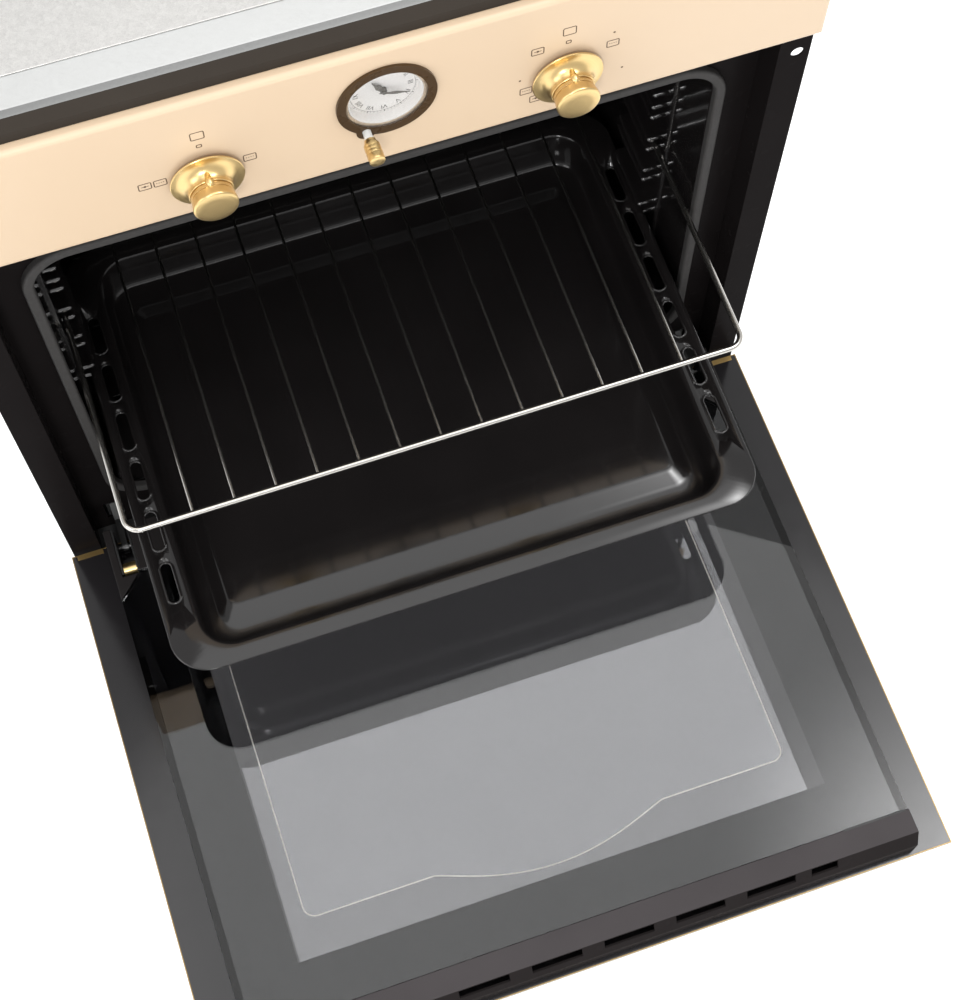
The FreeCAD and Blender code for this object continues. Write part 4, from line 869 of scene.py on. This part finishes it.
# Painted shade: the plinth is dark so that what shows through the oven's gaps looks shaded.
PLINTH_SHADE = Moulded("plinth_painted_shade", (0.03, 0.03, 0.03), 0.7)
GLASS_PRINT = Enamel("glass_print", (0.013, 0.012, 0.013), 0.12, 1.5, 0.06, 0.006, 0.2)
PANE_PRINT = Enamel("pane_print", (0.004, 0.004, 0.0045), 0.30, 1.0, 0.06, 0.0, 0.2)
WINDOW_FILM = Film("window_film", cover=0.046)
THIN_FILM = Film("thin_film", cover=0.048)
OUTER_PANE = Pane("outer_pane", (0.100, 0.098, 0.102), 1.5)
INNER_PANE = Pane("inner_pane", (0.86, 0.865, 0.875), 1.42)
LENS = ClearCap("clear_lens")
STEM = Pane("clear_stem", (0.92, 0.92, 0.90), 1.45, 0.3, 0.45)
LAMP = Pane("lamp_glass", (0.95, 0.95, 0.93), 1.45, 0.25)
FIBRE = Wool("mineral_wool")


@dataclass(frozen=True)
class SoftBox:
    """Square area light that faces a point, in metres and watts."""

    name: str
    place: Spot
    aim: Spot
    size: float
    power: float

    def hang(self) -> None:
        """Add the light to the scene."""
        data = bpy.data.lights.new(self.name, "AREA")
        data.size = self.size
        data.energy = self.power
        lamp = bpy.data.objects.new(self.name, data)
        bpy.context.scene.collection.objects.link(lamp)
        turn = (Vector(self.aim) - Vector(self.place)).to_track_quat("-Z", "Y")
        lamp.matrix_world = Matrix.Translation(self.place) @ turn.to_matrix().to_4x4()


SOFT_BOXES = (
    SoftBox("box_above", (0.25, -0.55, 2.6), (0.0, -0.35, 0.2), 2.4, 26.0),
    SoftBox("box_left", (-2.4, -1.2, 1.6), (0.0, -0.3, 0.4), 1.6, 22.0),
    SoftBox("lamp_front", (-0.7, -2.1, 2.0), (0.1, -0.2, 0.2), 0.45, 22.0),
)


@dataclass
class Studio:
    """Floor, plinth, light and camera, with the camera and the glow placed in metres."""

    eye: Spot = (-0.168462, -0.942715, 1.502922)
    right: Spot = (0.946686, -0.322158, -0.000184)
    down: Spot = (-0.295437, -0.867937, -0.399252)
    ahead: Spot = (0.128463, 0.378021, -0.916841)
    lens: float = 68.925
    surround: float = 0.78
    glow_at: Spot = (1.25, -0.55, 2.65)
    glow_reach: float = 0.75
    glow_power: float = 20.0
    floor_z: float = -33.0
    floor_size: float = 12000.0
    floor_glow: float = 0.45
    plinth_w: float = 580.0
    plinth_len: float = 528.0
    plinth_y: float = 266.0
    plinth_gap: float = 0.5

    def camera(self) -> None:
        """Set the camera at the photo's place."""
        data = bpy.data.cameras.new("camera")
        data.lens = self.lens
        data.sensor_width = 36.0
        data.clip_start = 0.02
        view = bpy.data.objects.new("camera", data)
        bpy.context.scene.collection.objects.link(view)
        turn = Matrix((self.right, [-v for v in self.down], [-v for v in self.ahead])).transposed()
        view.matrix_world = Matrix.Translation(self.eye) @ turn.to_4x4()
        bpy.context.scene.camera = view

    def light(self) -> None:
        """Even white surroundings, a large soft box above, one to the left and a small lamp in front."""
        world = bpy.data.worlds.new("studio")
        world.use_nodes = True
        world.node_tree.nodes["Background"].inputs[0].default_value = (1.0, 1.0, 1.0, 1.0)
        world.node_tree.nodes["Background"].inputs[1].default_value = self.surround
        bpy.context.scene.world = world
        for box in SOFT_BOXES:
            box.hang()

    def glow(self) -> None:
        """Sheet of light with a soft round edge, high up on the right."""
        w = Weaver("glow")
        middle, reach = Vector(self.glow_at), self.glow_reach
        fade = w.node("TexGradient")
        fade.gradient_type = "QUADRATIC_SPHERE"
        w.link(w.stretched((1 / reach,) * 3, tuple(-v / reach for v in middle)), fade.inputs["Vector"])
        w.link(fade.outputs["Fac"], w.shader.inputs["Alpha"])
        w.put(Base_Color=(0.0, 0.0, 0.0, 1.0), Roughness=1.0, IOR=1.0,
              Emission_Color=(1.0, 1.0, 1.0, 1.0), Emission_Strength=self.glow_power)
        Bench.plate(2 * reach / MM, 2 * reach / MM, middle)
        sheet = Bench.done("glow")
        sheet.data.materials.append(w.material)
        sheet.visible_camera = False

    def floor(self) -> None:
        """Pale floor, and a plinth under the casing coloured dark as painted shade, so the oven's gaps show
        shade in place of floor.
        """
        w = Weaver("pale_floor")
        w.colour(w.ramp(w.noise(3.0), (0.88, 0.88, 0.88), (0.90, 0.90, 0.90)))
        w.put(Roughness=0.9, Emission_Color=(1.0, 1.0, 1.0, 1.0), Emission_Strength=self.floor_glow)
        Bench.plate(self.floor_size, self.floor_size, at(0, 0, self.floor_z))
        ground = Bench.done("floor")
        scale = (self.plinth_w * MM, self.plinth_len * MM, (-self.floor_z - self.plinth_gap) * MM)
        plinth = Bench.start(bpy.ops.mesh.primitive_cube_add, scale, size=1.0,
                             location=at(0, self.plinth_y, self.floor_z / 2))
        plinth.name = "plinth"
        for piece, look in ((ground, w.material), (plinth, PLINTH_SHADE.build())):
            piece.data.materials.append(look)

    def build(self) -> None:
        """Set the stage."""
        bpy.context.scene.view_settings.view_transform = "Standard"
        self.camera()
        self.light()
        self.glow()
        self.floor()


@dataclass
class Group:
    kit: Kit

    def build(self) -> None:
        """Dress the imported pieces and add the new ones."""
        raise NotImplementedError


@dataclass
class Casing(Group):
    """Zinc sheets, their screws and the pieces hidden behind them."""

    screw_r: float = 4.2
    screw_h: float = 1.9
    screw_round: float = 1.1
    cross_len: float = 4.4
    cross_w: float = 0.9
    cross_deep: float = 1.6
    back: float = 545.0
    columns: tuple[float, ...] = (-255.0, 0.0, 255.0)
    rows: tuple[float, ...] = (20.0, 575.0)
    edge_x: float = 262.0
    edge_rows: tuple[float, ...] = (150.0, 440.0)

    def screw(self, name: str) -> Piece:
        """Pan-head screw at the origin with its head up and a cross in it.

        Args:
            name: name of the piece.

        Returns:
            The screw.
        """
        height = self.screw_h * MM
        head = Bench.start(bpy.ops.mesh.primitive_cylinder_add, vertices=24, radius=self.screw_r * MM,
                           depth=height, location=(0, 0, height / 2))
        Bench.edit("EDGE")
        Bench.pick("edges", lambda m: m.z > height * 0.99)
        bpy.ops.mesh.bevel(offset=self.screw_round * MM, segments=4)
        Bench.done(name)
        for wide, long in ((self.cross_len, self.cross_w), (self.cross_w, self.cross_len)):
            scale = (wide * MM, long * MM, self.cross_deep * MM)
            cutter = Bench.start(bpy.ops.mesh.primitive_cube_add, scale, size=1.0, location=(0, 0, height))
            Bench.cut(head, cutter)
        return head

    def screws(self) -> Piece:
        """Screws of the back.

        Returns:
            All of them as one piece.
        """
        spots = [(x, z, x + z) for x in self.columns for z in self.rows]
        spots += [(side * self.edge_x, z, z) for side in (-1, 1) for z in self.edge_rows]
        first = self.screw("screw")
        copies = []
        for x, z, angle in spots:
            place = Matrix.Translation(at(x, self.back, z)) @ Matrix.Rotation(-math.pi / 2, 4, "X")
            copy = first.copy()
            copy.data = first.data.copy()
            copy.data.transform(place @ Matrix.Rotation(angle, 4, "Z"))
            bpy.context.scene.collection.objects.link(copy)
            copies.append(copy)
        bpy.data.objects.remove(first)
        return Bench.join("casing_screws", copies)

    def build(self) -> None:
        """Dress the sheets and add the screws."""
        self.kit.dress(LID_ZINC, "top_cover")
        self.kit.dress(RAIL_ZINC, "top_front_rail")
        self.kit.dress(CASE_ZINC, "base_pan", "right_side_panel", "left_side_panel", "back_panel",
                       "control_shelf", "blower_housing")
        self.kit.dress(FIBRE, "insulation_blanket")
        self.kit.dress(BAKELITE, "terminal_block", "function_switch", "clock_movement", "blower_motor")
        self.kit.dress(CAST, "gas_thermostat_valve", "oven_burner", "burner_supply_pipe", "gas_feed_pipe")
        self.kit.dress(STEEL, "blower_wheel", "fan_motor", "lamp_housing", "ignition_probes", "gas_plunger")
        self.kit.dress(FITTING_BRASS, "gas_inlet")
        self.kit.add(self.screws(), STEEL, Body.OVEN, "zinc_steel")


@dataclass
class BakingSpace(Group):
    """Front frame, walls, seal and what is fixed inside."""

    def build(self) -> None:
        """Dress the enamelled pieces and the fittings."""
        self.kit.dress(FRAME_BLACK, "front_frame")
        self.kit.dress(WALL_BLACK, "cavity_wrapper", "cavity_right_wall", "cavity_left_wall")
        self.kit.dress(BLACK, "floor_plate", "fan_cover")
        self.kit.dress(SEAL, "door_seal")
        self.kit.dress(CHROME, "wire_rack")
        self.kit.dress(HEATER, "grill_element")
        self.kit.dress(STEEL, "convection_fan")
        self.kit.dress(LAMP, "lamp_lens")


@dataclass
class Panel(Group):
    """Cream panel with its printed pictograms."""

    line: float = 0.7
    ink: float = 0.04
    large: Sizes = (9.0, 7.6, 1.3)
    small: Sizes = (3.8, 3.2, 0.9)
    box: Sizes = (8.6, 6.8, 1.2)

    def sign(self, x: float, z: float, size: Sizes) -> Piece:
        """Round-cornered frame printed on the panel's face.

        Args:
            x: place across the panel.
            z: height.
            size: width, height and corner radius.

        Returns:
            The print.
        """
        width, height, corner = size
        Bench.plate(width, height, Vector())
        bpy.ops.mesh.bevel(offset=corner * MM, affect="VERTICES", segments=4)
        piece = Bench.lined("outline", self.line, self.ink)
        piece.data.transform(upright(x, 0, z))
        return piece

    def dot(self, x: float, z: float, radius: float) -> Piece:
        """Small round dot printed on the panel's face."""
        return Bench.turned("dot", x, z, [(radius, 0.0), (radius, self.ink)], 16)

    def bar(self, x: float, z: float, width: float, height: float) -> Piece:
        """Short printed stroke.

        Args:
            x: place across the panel.
            z: height.
            width: length of the stroke.
            height: thickness of the stroke.

        Returns:
            The print.
        """
        Bench.plate(width, height, Vector())
        piece = Bench.raised("stroke", self.ink)
        piece.data.transform(upright(x, 0, z))
        return piece

    def signs(self) -> Piece:
        """All the pictograms round the two knobs.

        Returns:
            The prints as one piece.
        """
        made = []
        for x, z in ((-116.5, 554.3), (117.3, 554.6)):
            made.append(self.sign(x, z, self.large))
        for x, z in ((-116.6, 544.0), (117.0, 544.2)):
            made.append(self.sign(x, z, self.small))
        boxes = ((-154.0, 518.4), (-144.4, 518.2), (-88.0, 518.6), (97.0, 543.0),
                 (146.7, 530.3), (90.3, 505.8), (97.0, 495.2))
        for i, (x, z) in enumerate(boxes):
            made.append(self.sign(x, z, self.box))
            if i % 3 == 0:
                made.append(self.dot(x, z, 0.9))
                made.append(self.bar(x - 1.7, z, 1.4, 0.5))
                made.append(self.bar(x + 1.7, z, 1.4, 0.5))
            else:
                for shift in (-2.1, -0.7, 0.7, 2.1):
                    made.append(self.bar(x + shift, z + 0.2, 0.7, 0.6))
        for x, z in ((154.7, 502.3), (139.6, 513.0), (147.0, 541.0), (86.0, 518.0)):
            made.append(self.dot(x, z, 0.8))
        return Bench.join("panel_signs", made)

    def build(self) -> None:
        """Dress the panel and print it."""
        self.kit.dress(CREAM, "control_panel")
        self.kit.add(self.signs(), INK, Body.OVEN, "bronze_dark")


@dataclass
class Knob(Group):
    """Turned knob with a flared skirt and a pointer."""

    side: int
    x: float = 116.5
    z: float = 513.0
    rim: float = 23.5
    neck: float = 13.2
    end: float = 25.0
    drop_r: float = 2.7
    drop_len: float = 4.8
    drop_off: float = 13.6

    def profile(self) -> list[tuple[float, float]]:
        """Turned outline.

        Returns:
            Radius and height of each point.
        """
        points = [(3.05, 19.05), (3.05, 3.4), (22.3, 3.35), (23.2, 3.3), (self.rim, 3.6)]
        points += [(self.rim, 4.2), (self.rim - 0.4, 4.6)]
        flare = self.rim - 0.9 - self.neck
        for i in range(1, 15):
            a = math.pi / 2 * i / 14
            points.append((self.rim - 0.9 - flare * math.sin(a), 4.7 + 7.7 * (1 - math.cos(a))))
        points += [(14.1, 12.5), (14.35, 12.8), (14.35, 14.0), (14.1, 14.3), (12.9, 14.4), (12.9, 15.0)]
        points += [(13.55, 15.15), (13.6, 17.1), (13.0, 17.25), (13.0, 17.7), (13.65, 17.85), (14.3, 22.4)]
        points += [(14.38, 23.3), (14.2, 24.0), (13.7, 24.5), (12.8, 24.75), (8.0, 24.92), (2.0, self.end)]
        return points

    def pointer(self, x: float) -> Piece:
        """Teardrop that lies across the neck and points up.

        Args:
            x: place of the knob's axis.

        Returns:
            The teardrop.
        """
        drop = Bench.start(bpy.ops.mesh.primitive_uv_sphere_add, segments=32, ring_count=20, radius=1.0)
        Bench.edit()
        Bench.pick("verts", lambda m: m.y > 0.05)
        bpy.ops.transform.resize(value=(0.75, 1.5, 0.75), center_override=(0, 0, 0))
        bpy.ops.object.mode_set(mode="OBJECT")
        drop.scale = (self.drop_r * MM, self.drop_len * MM, self.drop_r * MM)
        drop.location = at(x, -self.drop_off, self.z + self.neck + 0.3)
        return Bench.done("pointer", 60.0)

    def build(self) -> None:
        """Turn the knob and dress its spindle."""
        name = "left" if self.side < 0 else "right"
        x = self.side * self.x
        grip = Bench.turned("grip", x, self.z, self.profile(), 128)
        knob = Bench.join(name + "_knob_turned", [grip, self.pointer(x)])
        look = TurnedMetal(name + "_knob_brass", BRASS_TONE, (x, self.z), 0.30)
        body = Body.LEFT_KNOB if self.side < 0 else Body.RIGHT_KNOB
        self.kit.add(knob, look, body, "brass_satin", name + "_knob")
        self.kit.dress(STEEL, name + "_spindle")


@dataclass
class Clock(Group):
    """Dial, hands, lens and the timer's small knob."""

    z: float = 539.0
    face: float = 7.0
    ink: float = 0.03
    numeral_h: float = 5.0
    numeral_r: float = 17.4
    ring_in: float = 20.75
    ring_out: float = 20.95
    tick_r: float = 21.6
    timer_x: float = -14.5
    timer_z: float = 513.0
    cap_r: float = 5.2

    def numeral(self, words: str, angle: float) -> Piece:
        """One hour number, its top away from the middle.

        Args:
            words: the number.
            angle: its place round the dial.

        Returns:
            The print.
        """
        Bench.clear()
        bpy.ops.object.text_add()
        text = bpy.context.object
        text.data.body = words
        text.data.size = self.numeral_h * MM
        text.data.align_x = "CENTER"
        text.data.align_y = "CENTER"
        text.data.extrude = 0.02 * MM
        bpy.ops.object.convert(target="MESH")
        piece = bpy.context.object
        outward = Matrix.Rotation(-angle, 4, "Z") @ Matrix.Translation((0, self.numeral_r * MM, 0))
        piece.data.transform(upright(0, self.face - self.ink, self.z) @ outward)
        return piece

    def tick(self, angle: float, long: bool) -> Piece:
        """One stroke of the minute ring.

        Args:
            angle: its place round the dial.
            long: whether it marks an hour.

        Returns:
            The print.
        """
        Bench.plate(0.55 if long else 0.25, 1.6 if long else 1.0, Vector((0, self.tick_r * MM, 0)))
        piece = Bench.raised("tick", self.ink)
        piece.data.transform(upright(0, self.face, self.z) @ Matrix.Rotation(-angle, 4, "Z"))
        return piece

    def print_dial(self) -> Piece:
        """Numbers, strokes and the minute ring.

        Returns:
            The prints as one piece.
        """
        words = ("XII", "I", "II", "III", "IV", "V", "VI", "VII", "VIII", "IX", "X", "XI")
        made = [self.numeral(word, math.tau * i / 12) for i, word in enumerate(words)]
        made += [self.tick(math.tau * i / 60, i % 5 == 0) for i in range(60)]
        low, high = -self.face, self.ink - self.face
        ring = [(self.ring_in, low), (self.ring_out, low), (self.ring_out, high), (self.ring_in, high)]
        made.append(Bench.turned("ring", 0.0, self.z, ring + ring[:1], 96))
        return Bench.join("dial_print", made)

    def cap(self) -> list[tuple[float, float]]:
        """Turned outline of the timer's cap.

        Returns:
            Radius and height of each point.
        """
        points = [(3.4, 8.5), (3.8, 8.7), (3.8, 9.6), (4.1, 10.2), (5.0, 12.0), (self.cap_r, 12.6)]
        for i in range(3):
            h = 14.0 + 2.6 * i
            points += [(self.cap_r, h), (5.1, h + 0.25), (5.1, h + 0.5), (self.cap_r, h + 0.75)]
        return points + [(self.cap_r, 23.8), (5.0, 24.5), (4.5, 24.85), (2.0, 25.0)]

    def build(self) -> None:
        """Dress the clock and add its print and timer cap."""
        self.kit.dress(BRONZE, "clock_bezel")
        self.kit.dress(LENS, "clock_lens")
        self.kit.dress(DIAL_WHITE, "clock_dial")
        self.kit.dress(HAND_GREY, "hour_hand", "minute_hand")
        self.kit.dress(STEM, "timer_stem")
        self.kit.add(self.print_dial(), DIAL_INK, Body.OVEN, "hand_grey")
        look = TurnedMetal("timer_brass", BRASS_TONE, (self.timer_x, self.timer_z), 0.3)
        piece = Bench.turned("timer_cap_turned", self.timer_x, self.timer_z, self.cap(), 64)
        self.kit.add(piece, look, Body.TIMER, "brass_satin", "timer_cap")


@dataclass
class BakingTray(Group):
    """Pressed tray with a stepped floor and slots in its side rims."""

    half_w: float = 233.5
    front: float = -177.0
    length: float = 378.0
    top: float = 155.0
    rim_end: float = 14.0
    rim_side: float = 24.0
    sheet: float = 1.2
    slot_w: float = 9.0
    slot_len: float = 33.0
    slot_pitch: float = 44.6
    slot_first: float = 77.0
    slot_in: float = 13.0
    slots: int = 6
    bead: float = 0.8

    def rings(self) -> list[Ring]:
        """Rim, rounded edges, wall, groove and raised floor.

        Returns:
            Outlines from the outside in.
        """
        rim = [(0.0, -0.7, 30.0), (0.15, -0.25, 29.9), (0.6, 0.0, 29.5)]
        wall = [(0.0, -0.04, 27.0), (0.7, -0.12, 26.8), (1.4, -0.5, 26.4), (2.0, -1.2, 26.0)]
        wall += [(2.4, -2.4, 25.6), (4.4, -30.6, 24.0), (5.0, -33.0, 23.4), (6.0, -35.0, 22.6)]
        wall += [(7.6, -36.3, 21.4), (9.6, -36.8, 19.8)]
        floor = [(15.5, 26.5, -36.84, 15.0), (17.0, 29.0, -36.5, 14.0), (18.5, 31.0, -36.0, 13.0)]
        floor += [(25.0, 40.0, -33.2, 9.5), (26.5, 42.0, -32.75, 8.5), (28.5, 44.5, -32.5, 7.5)]
        floor += [(60.0, 76.0, -32.4, 6.0)]
        inside = [(reach, reach, level, corner) for reach, level, corner in wall] + floor
        steps = [(reach, reach, level, corner) for reach, level, corner in rim]
        for side, end, level, corner in inside:
            steps.append((side + self.rim_side, end + self.rim_end, level, corner))
        rings = []
        for side, end, level, corner in steps:
            low = self.front + end
            high = self.front + self.length - end
            rings.append(Ring(self.half_w - side, low, high, corner, self.top + level))
        return rings

    def shell(self) -> Piece:
        """Press the sheet and give it its thickness.

        Returns:
            The tray without its slots.
        """
        tray = Bench.pressed("baking_tray_pressed", self.rings())
        Bench.apply(tray, "SOLIDIFY", thickness=self.sheet * MM, offset=-1.0)
        return tray

    def stretch(self, y: float) -> None:
        """Draw a round piece out along Y to the slot's length.

        Args:
            y: place of its middle.
        """
        middle = at(0, y, 0).y
        run = (self.slot_len - self.slot_w) / 2 * MM
        Bench.edit()
        Bench.pick("verts", lambda m: m.y > middle + 1e-6)
        bpy.ops.transform.translate(value=(0, run, 0))
        Bench.pick("verts", lambda m: m.y < middle - 1e-6)
        bpy.ops.transform.translate(value=(0, -run, 0))

    def slot(self, x: float, y: float) -> Piece:
        """Cutter for one slot.

        Args:
            x: place across the tray.
            y: place along the tray.

        Returns:
            The cutter.
        """
        Bench.start(bpy.ops.mesh.primitive_cylinder_add, vertices=32, radius=self.slot_w / 2 * MM,
                    depth=8 * MM, location=at(x, y, self.top))
        self.stretch(y)
        return Bench.done("slot")

    def lip(self, x: float, y: float) -> Piece:
        """Raised bead round one slot.

        Args:
            x: place across the tray.
            y: place along the tray.

        Returns:
            The bead.
        """
        Bench.start(bpy.ops.mesh.primitive_torus_add, major_segments=34, minor_segments=12,
                    location=at(x, y, self.top - 0.1), major_radius=(self.slot_w / 2 + 0.5) * MM,
                    minor_radius=self.bead * MM)
        self.stretch(y)
        return Bench.done("lip", 60.0)

    def build(self) -> None:
        """Press, pierce and dress the tray."""
        tray = self.shell()
        cutters = []
        lips = []
        for side in (-1, 1):
            for i in range(self.slots):
                x = side * (self.half_w - self.slot_in)
                y = self.front + self.slot_first + i * self.slot_pitch
                cutters.append(self.slot(x, y))
                lips.append(self.lip(x, y))
        Bench.cut(tray, Bench.join("slots", cutters))
        piece = Bench.join("baking_tray_pressed", [tray] + lips)
        self.kit.add(piece, BLACK, Body.TRAY, "black_enamel", "baking_tray")


@dataclass
class Door(Group):
    """Panes, print, edging, rails, trim and handle of the open door."""

    half_w: float = 297.5
    tip: float = -451.0
    heel: float = 5.0
    face: float = 15.7
    glass: float = 4.0
    inner: float = 53.0
    pane_half: float = 264.9
    pane_far: float = -420.4
    pane_near: float = -38.3
    chamfer: float = 22.0
    outer_clear: Sizes = (236.0, -402.0, -50.0)
    inner_clear: Sizes = (213.7, -381.5, -62.0)
    line_half: float = 199.5
    line_far: float = -346.5
    line_near: float = -45.0
    line_corner: float = 10.0
    arch_half: float = 95.0
    arch: float = 21.5
    line: float = 1.1
    ink: float = 0.05
    coat_w: float = 471.0
    coat_len: float = 351.0
    coat_y: float = -226.0
    joint_w: float = 52.0
    joint_len: float = 1.8
    joint_x: float = 238.0
    edge: float = 0.8
    end_w: float = 22.0
    end_len: float = 4.0
    end_x: float = 282.0

    @property
    def outer_top(self) -> float:
        """Height of the outer pane's upper side."""
        return self.face + self.glass

    def border(self, name: str, half: float, span: tuple[float, float], clear: Sizes,
               z: float, chamfer: float = 0.0) -> Piece:
        """Dark print on a pane, with a clear window.

        Args:
            name: name of the piece.
            half: half the width of the print.
            span: places of its free edge and its hinge edge.
            clear: half the width of the window, and its two edges.
            z: height of the print.
            chamfer: cut at the two corners by the hinges.

        Returns:
            The print.
        """
        Bench.plate(2 * half, span[1] - span[0], at(0, sum(span) / 2, z))
        if chamfer:
            edge = at(0, span[1], 0).y
            Bench.pick("verts", lambda m: m.y > edge - 1e-6)
            bpy.ops.mesh.bevel(offset=chamfer * MM, affect="VERTICES", segments=1)
        cuts = [(Vector((side * clear[0] * MM, 0, 0)), (1, 0, 0)) for side in (-1, 1)]
        cuts += [(at(0, y, 0), (0, 1, 0)) for y in clear[1:]]
        for place, way in cuts:
            Bench.everything()
            bpy.ops.mesh.bisect(plane_co=place, plane_no=way)
        bpy.ops.mesh.select_mode(type="FACE")
        low, high = at(0, clear[1], 0).y, at(0, clear[2], 0).y
        reach = clear[0] * MM
        Bench.pick("faces", lambda m: abs(m.x) < reach and low < m.y < high)
        bpy.ops.mesh.delete(type="FACE")
        Bench.everything()
        return Bench.raised(name, self.ink)

    def swell(self, x: float) -> float:
        """How far the arch of the printed line stands out at a place across the door."""
        part = min(1.0, abs(x) / self.arch_half)
        return self.arch * (1 - part * part) ** 1.15

    def field(self, lift: float) -> None:
        """Start a plate on the outer pane with round corners and an arch towards the free edge.

        Args:
            lift: its height over the pane.
        """
        middle = at(0, (self.line_far + self.line_near) / 2, self.outer_top + lift)
        piece = Bench.plate(2 * self.line_half, self.line_near - self.line_far, middle)
        for i in range(41):
            x = self.arch_half * (i / 20 - 1)
            Bench.everything()
            bpy.ops.mesh.bisect(plane_co=(x * MM, 0, 0), plane_no=(1, 0, 0))
        edge = at(0, self.line_far, 0).y
        mesh = bmesh.from_edit_mesh(piece.data)
        for v in mesh.verts:
            if abs(v.co.y - edge) < 1e-6 and abs(v.co.x) < self.arch_half * MM:
                v.co.y -= self.swell(v.co.x / MM) * MM
        bmesh.update_edit_mesh(piece.data)
        Bench.everything()
        bpy.ops.mesh.dissolve_faces()
        half = self.line_half * MM
        Bench.pick("verts", lambda m: abs(abs(m.x) - half) < 1e-6)
        bpy.ops.mesh.bevel(offset=self.line_corner * MM, affect="VERTICES", segments=6)
        Bench.everything()

    def film(self) -> Piece:
        """Reflecting coat on the outer pane inside the printed line."""
        self.field(0.08)
        return Bench.raised("window_film", self.ink)

    def thin_film(self) -> Piece:
        """Weaker coat that reaches under the print of the inner pane."""
        Bench.plate(self.coat_w, self.coat_len, at(0, self.coat_y, self.outer_top + 0.01))
        return Bench.raised("thin_film", self.ink)

    def fine_line(self) -> Piece:
        """Thin printed line round the coat."""
        self.field(0.15)
        return Bench.lined("glass_line", self.line, self.ink)

    def joints(self) -> Piece:
        """Thin dark strips on the inner pane along the trim at its two ends.

        Returns:
            Both strips as one piece.
        """
        made = []
        for side in (-1, 1):
            middle = at(side * self.joint_x, self.pane_far - 0.7, self.inner + 0.01)
            Bench.plate(self.joint_w, self.joint_len, middle)
            made.append(Bench.raised("joint", self.ink))
        return Bench.join("trim_joints", made)

    def edging(self) -> Piece:
        """Gold edge round the outer pane, with wider ends beside the hinges.

        Returns:
            The edge and its ends as one piece.
        """
        middle = at(0, (self.tip + self.heel) / 2, self.outer_top + 0.06)
        Bench.plate(2 * self.half_w, self.heel - self.tip, middle)
        made = [Bench.lined("edge_line", self.edge, self.ink)]
        for side in (-1, 1):
            Bench.plate(self.end_w, self.end_len, at(side * self.end_x, self.heel - 2.6, self.outer_top + 0.07))
            made.append(Bench.raised("edge_end", self.ink))
        return Bench.join("gold_edging", made)

    def build(self) -> None:
        """Dress the door and add its print and edging."""
        self.kit.dress(OUTER_PANE, "door_outer_glass")
        self.kit.dress(INNER_PANE, "door_inner_glass")
        self.kit.dress(BROWN, "door_side_rails", "door_bottom_rail")
        self.kit.dress(TRIM_BROWN, "door_top_trim")
        self.kit.dress(HINGE_STEEL, "hinge_arms", "hinge_receivers", "hinge_housings", "hinge_pins",
                       "hinge_springs")
        self.kit.dress(FITTING_BRASS, "hinge_rollers")
        self.kit.dress(BAR_BRASS, "handle_bar", "handle_posts")
        outer = self.border("outer_border", self.half_w - 0.5, (self.tip + 0.5, self.heel - 0.5),
                            self.outer_clear, self.outer_top + 0.01)
        self.kit.add(outer, GLASS_PRINT, Body.DOOR, "door_glass_outer")
        inner = self.border("inner_border", self.pane_half, (self.pane_far, self.pane_near),
                            self.inner_clear, self.inner - self.glass - 0.06, self.chamfer)
        self.kit.add(inner, PANE_PRINT, Body.DOOR, "door_glass_outer")
        self.kit.add(self.joints(), BAKELITE, Body.DOOR, "moulded_black")
        self.kit.add(self.film(), WINDOW_FILM, Body.DOOR, "door_glass_outer")
        self.kit.add(self.thin_film(), THIN_FILM, Body.DOOR, "door_glass_outer")
        self.kit.add(self.fine_line(), CREAM_INK, Body.DOOR, "cream_enamel")
        self.kit.add(self.edging(), GOLD_EDGE, Body.DOOR, "brass_satin")


def main() -> None:
    """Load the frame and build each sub-assembly."""
    logging.basicConfig(level=logging.INFO, format="%(name)s: %(message)s")
    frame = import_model()
    kit = Kit(frame)
    Studio().build()
    for group in (Casing(kit), BakingSpace(kit), Panel(kit), Knob(kit, -1), Knob(kit, 1), Clock(kit),
                  BakingTray(kit), Door(kit)):
        group.build()


if __name__ == "__main__":
    main()
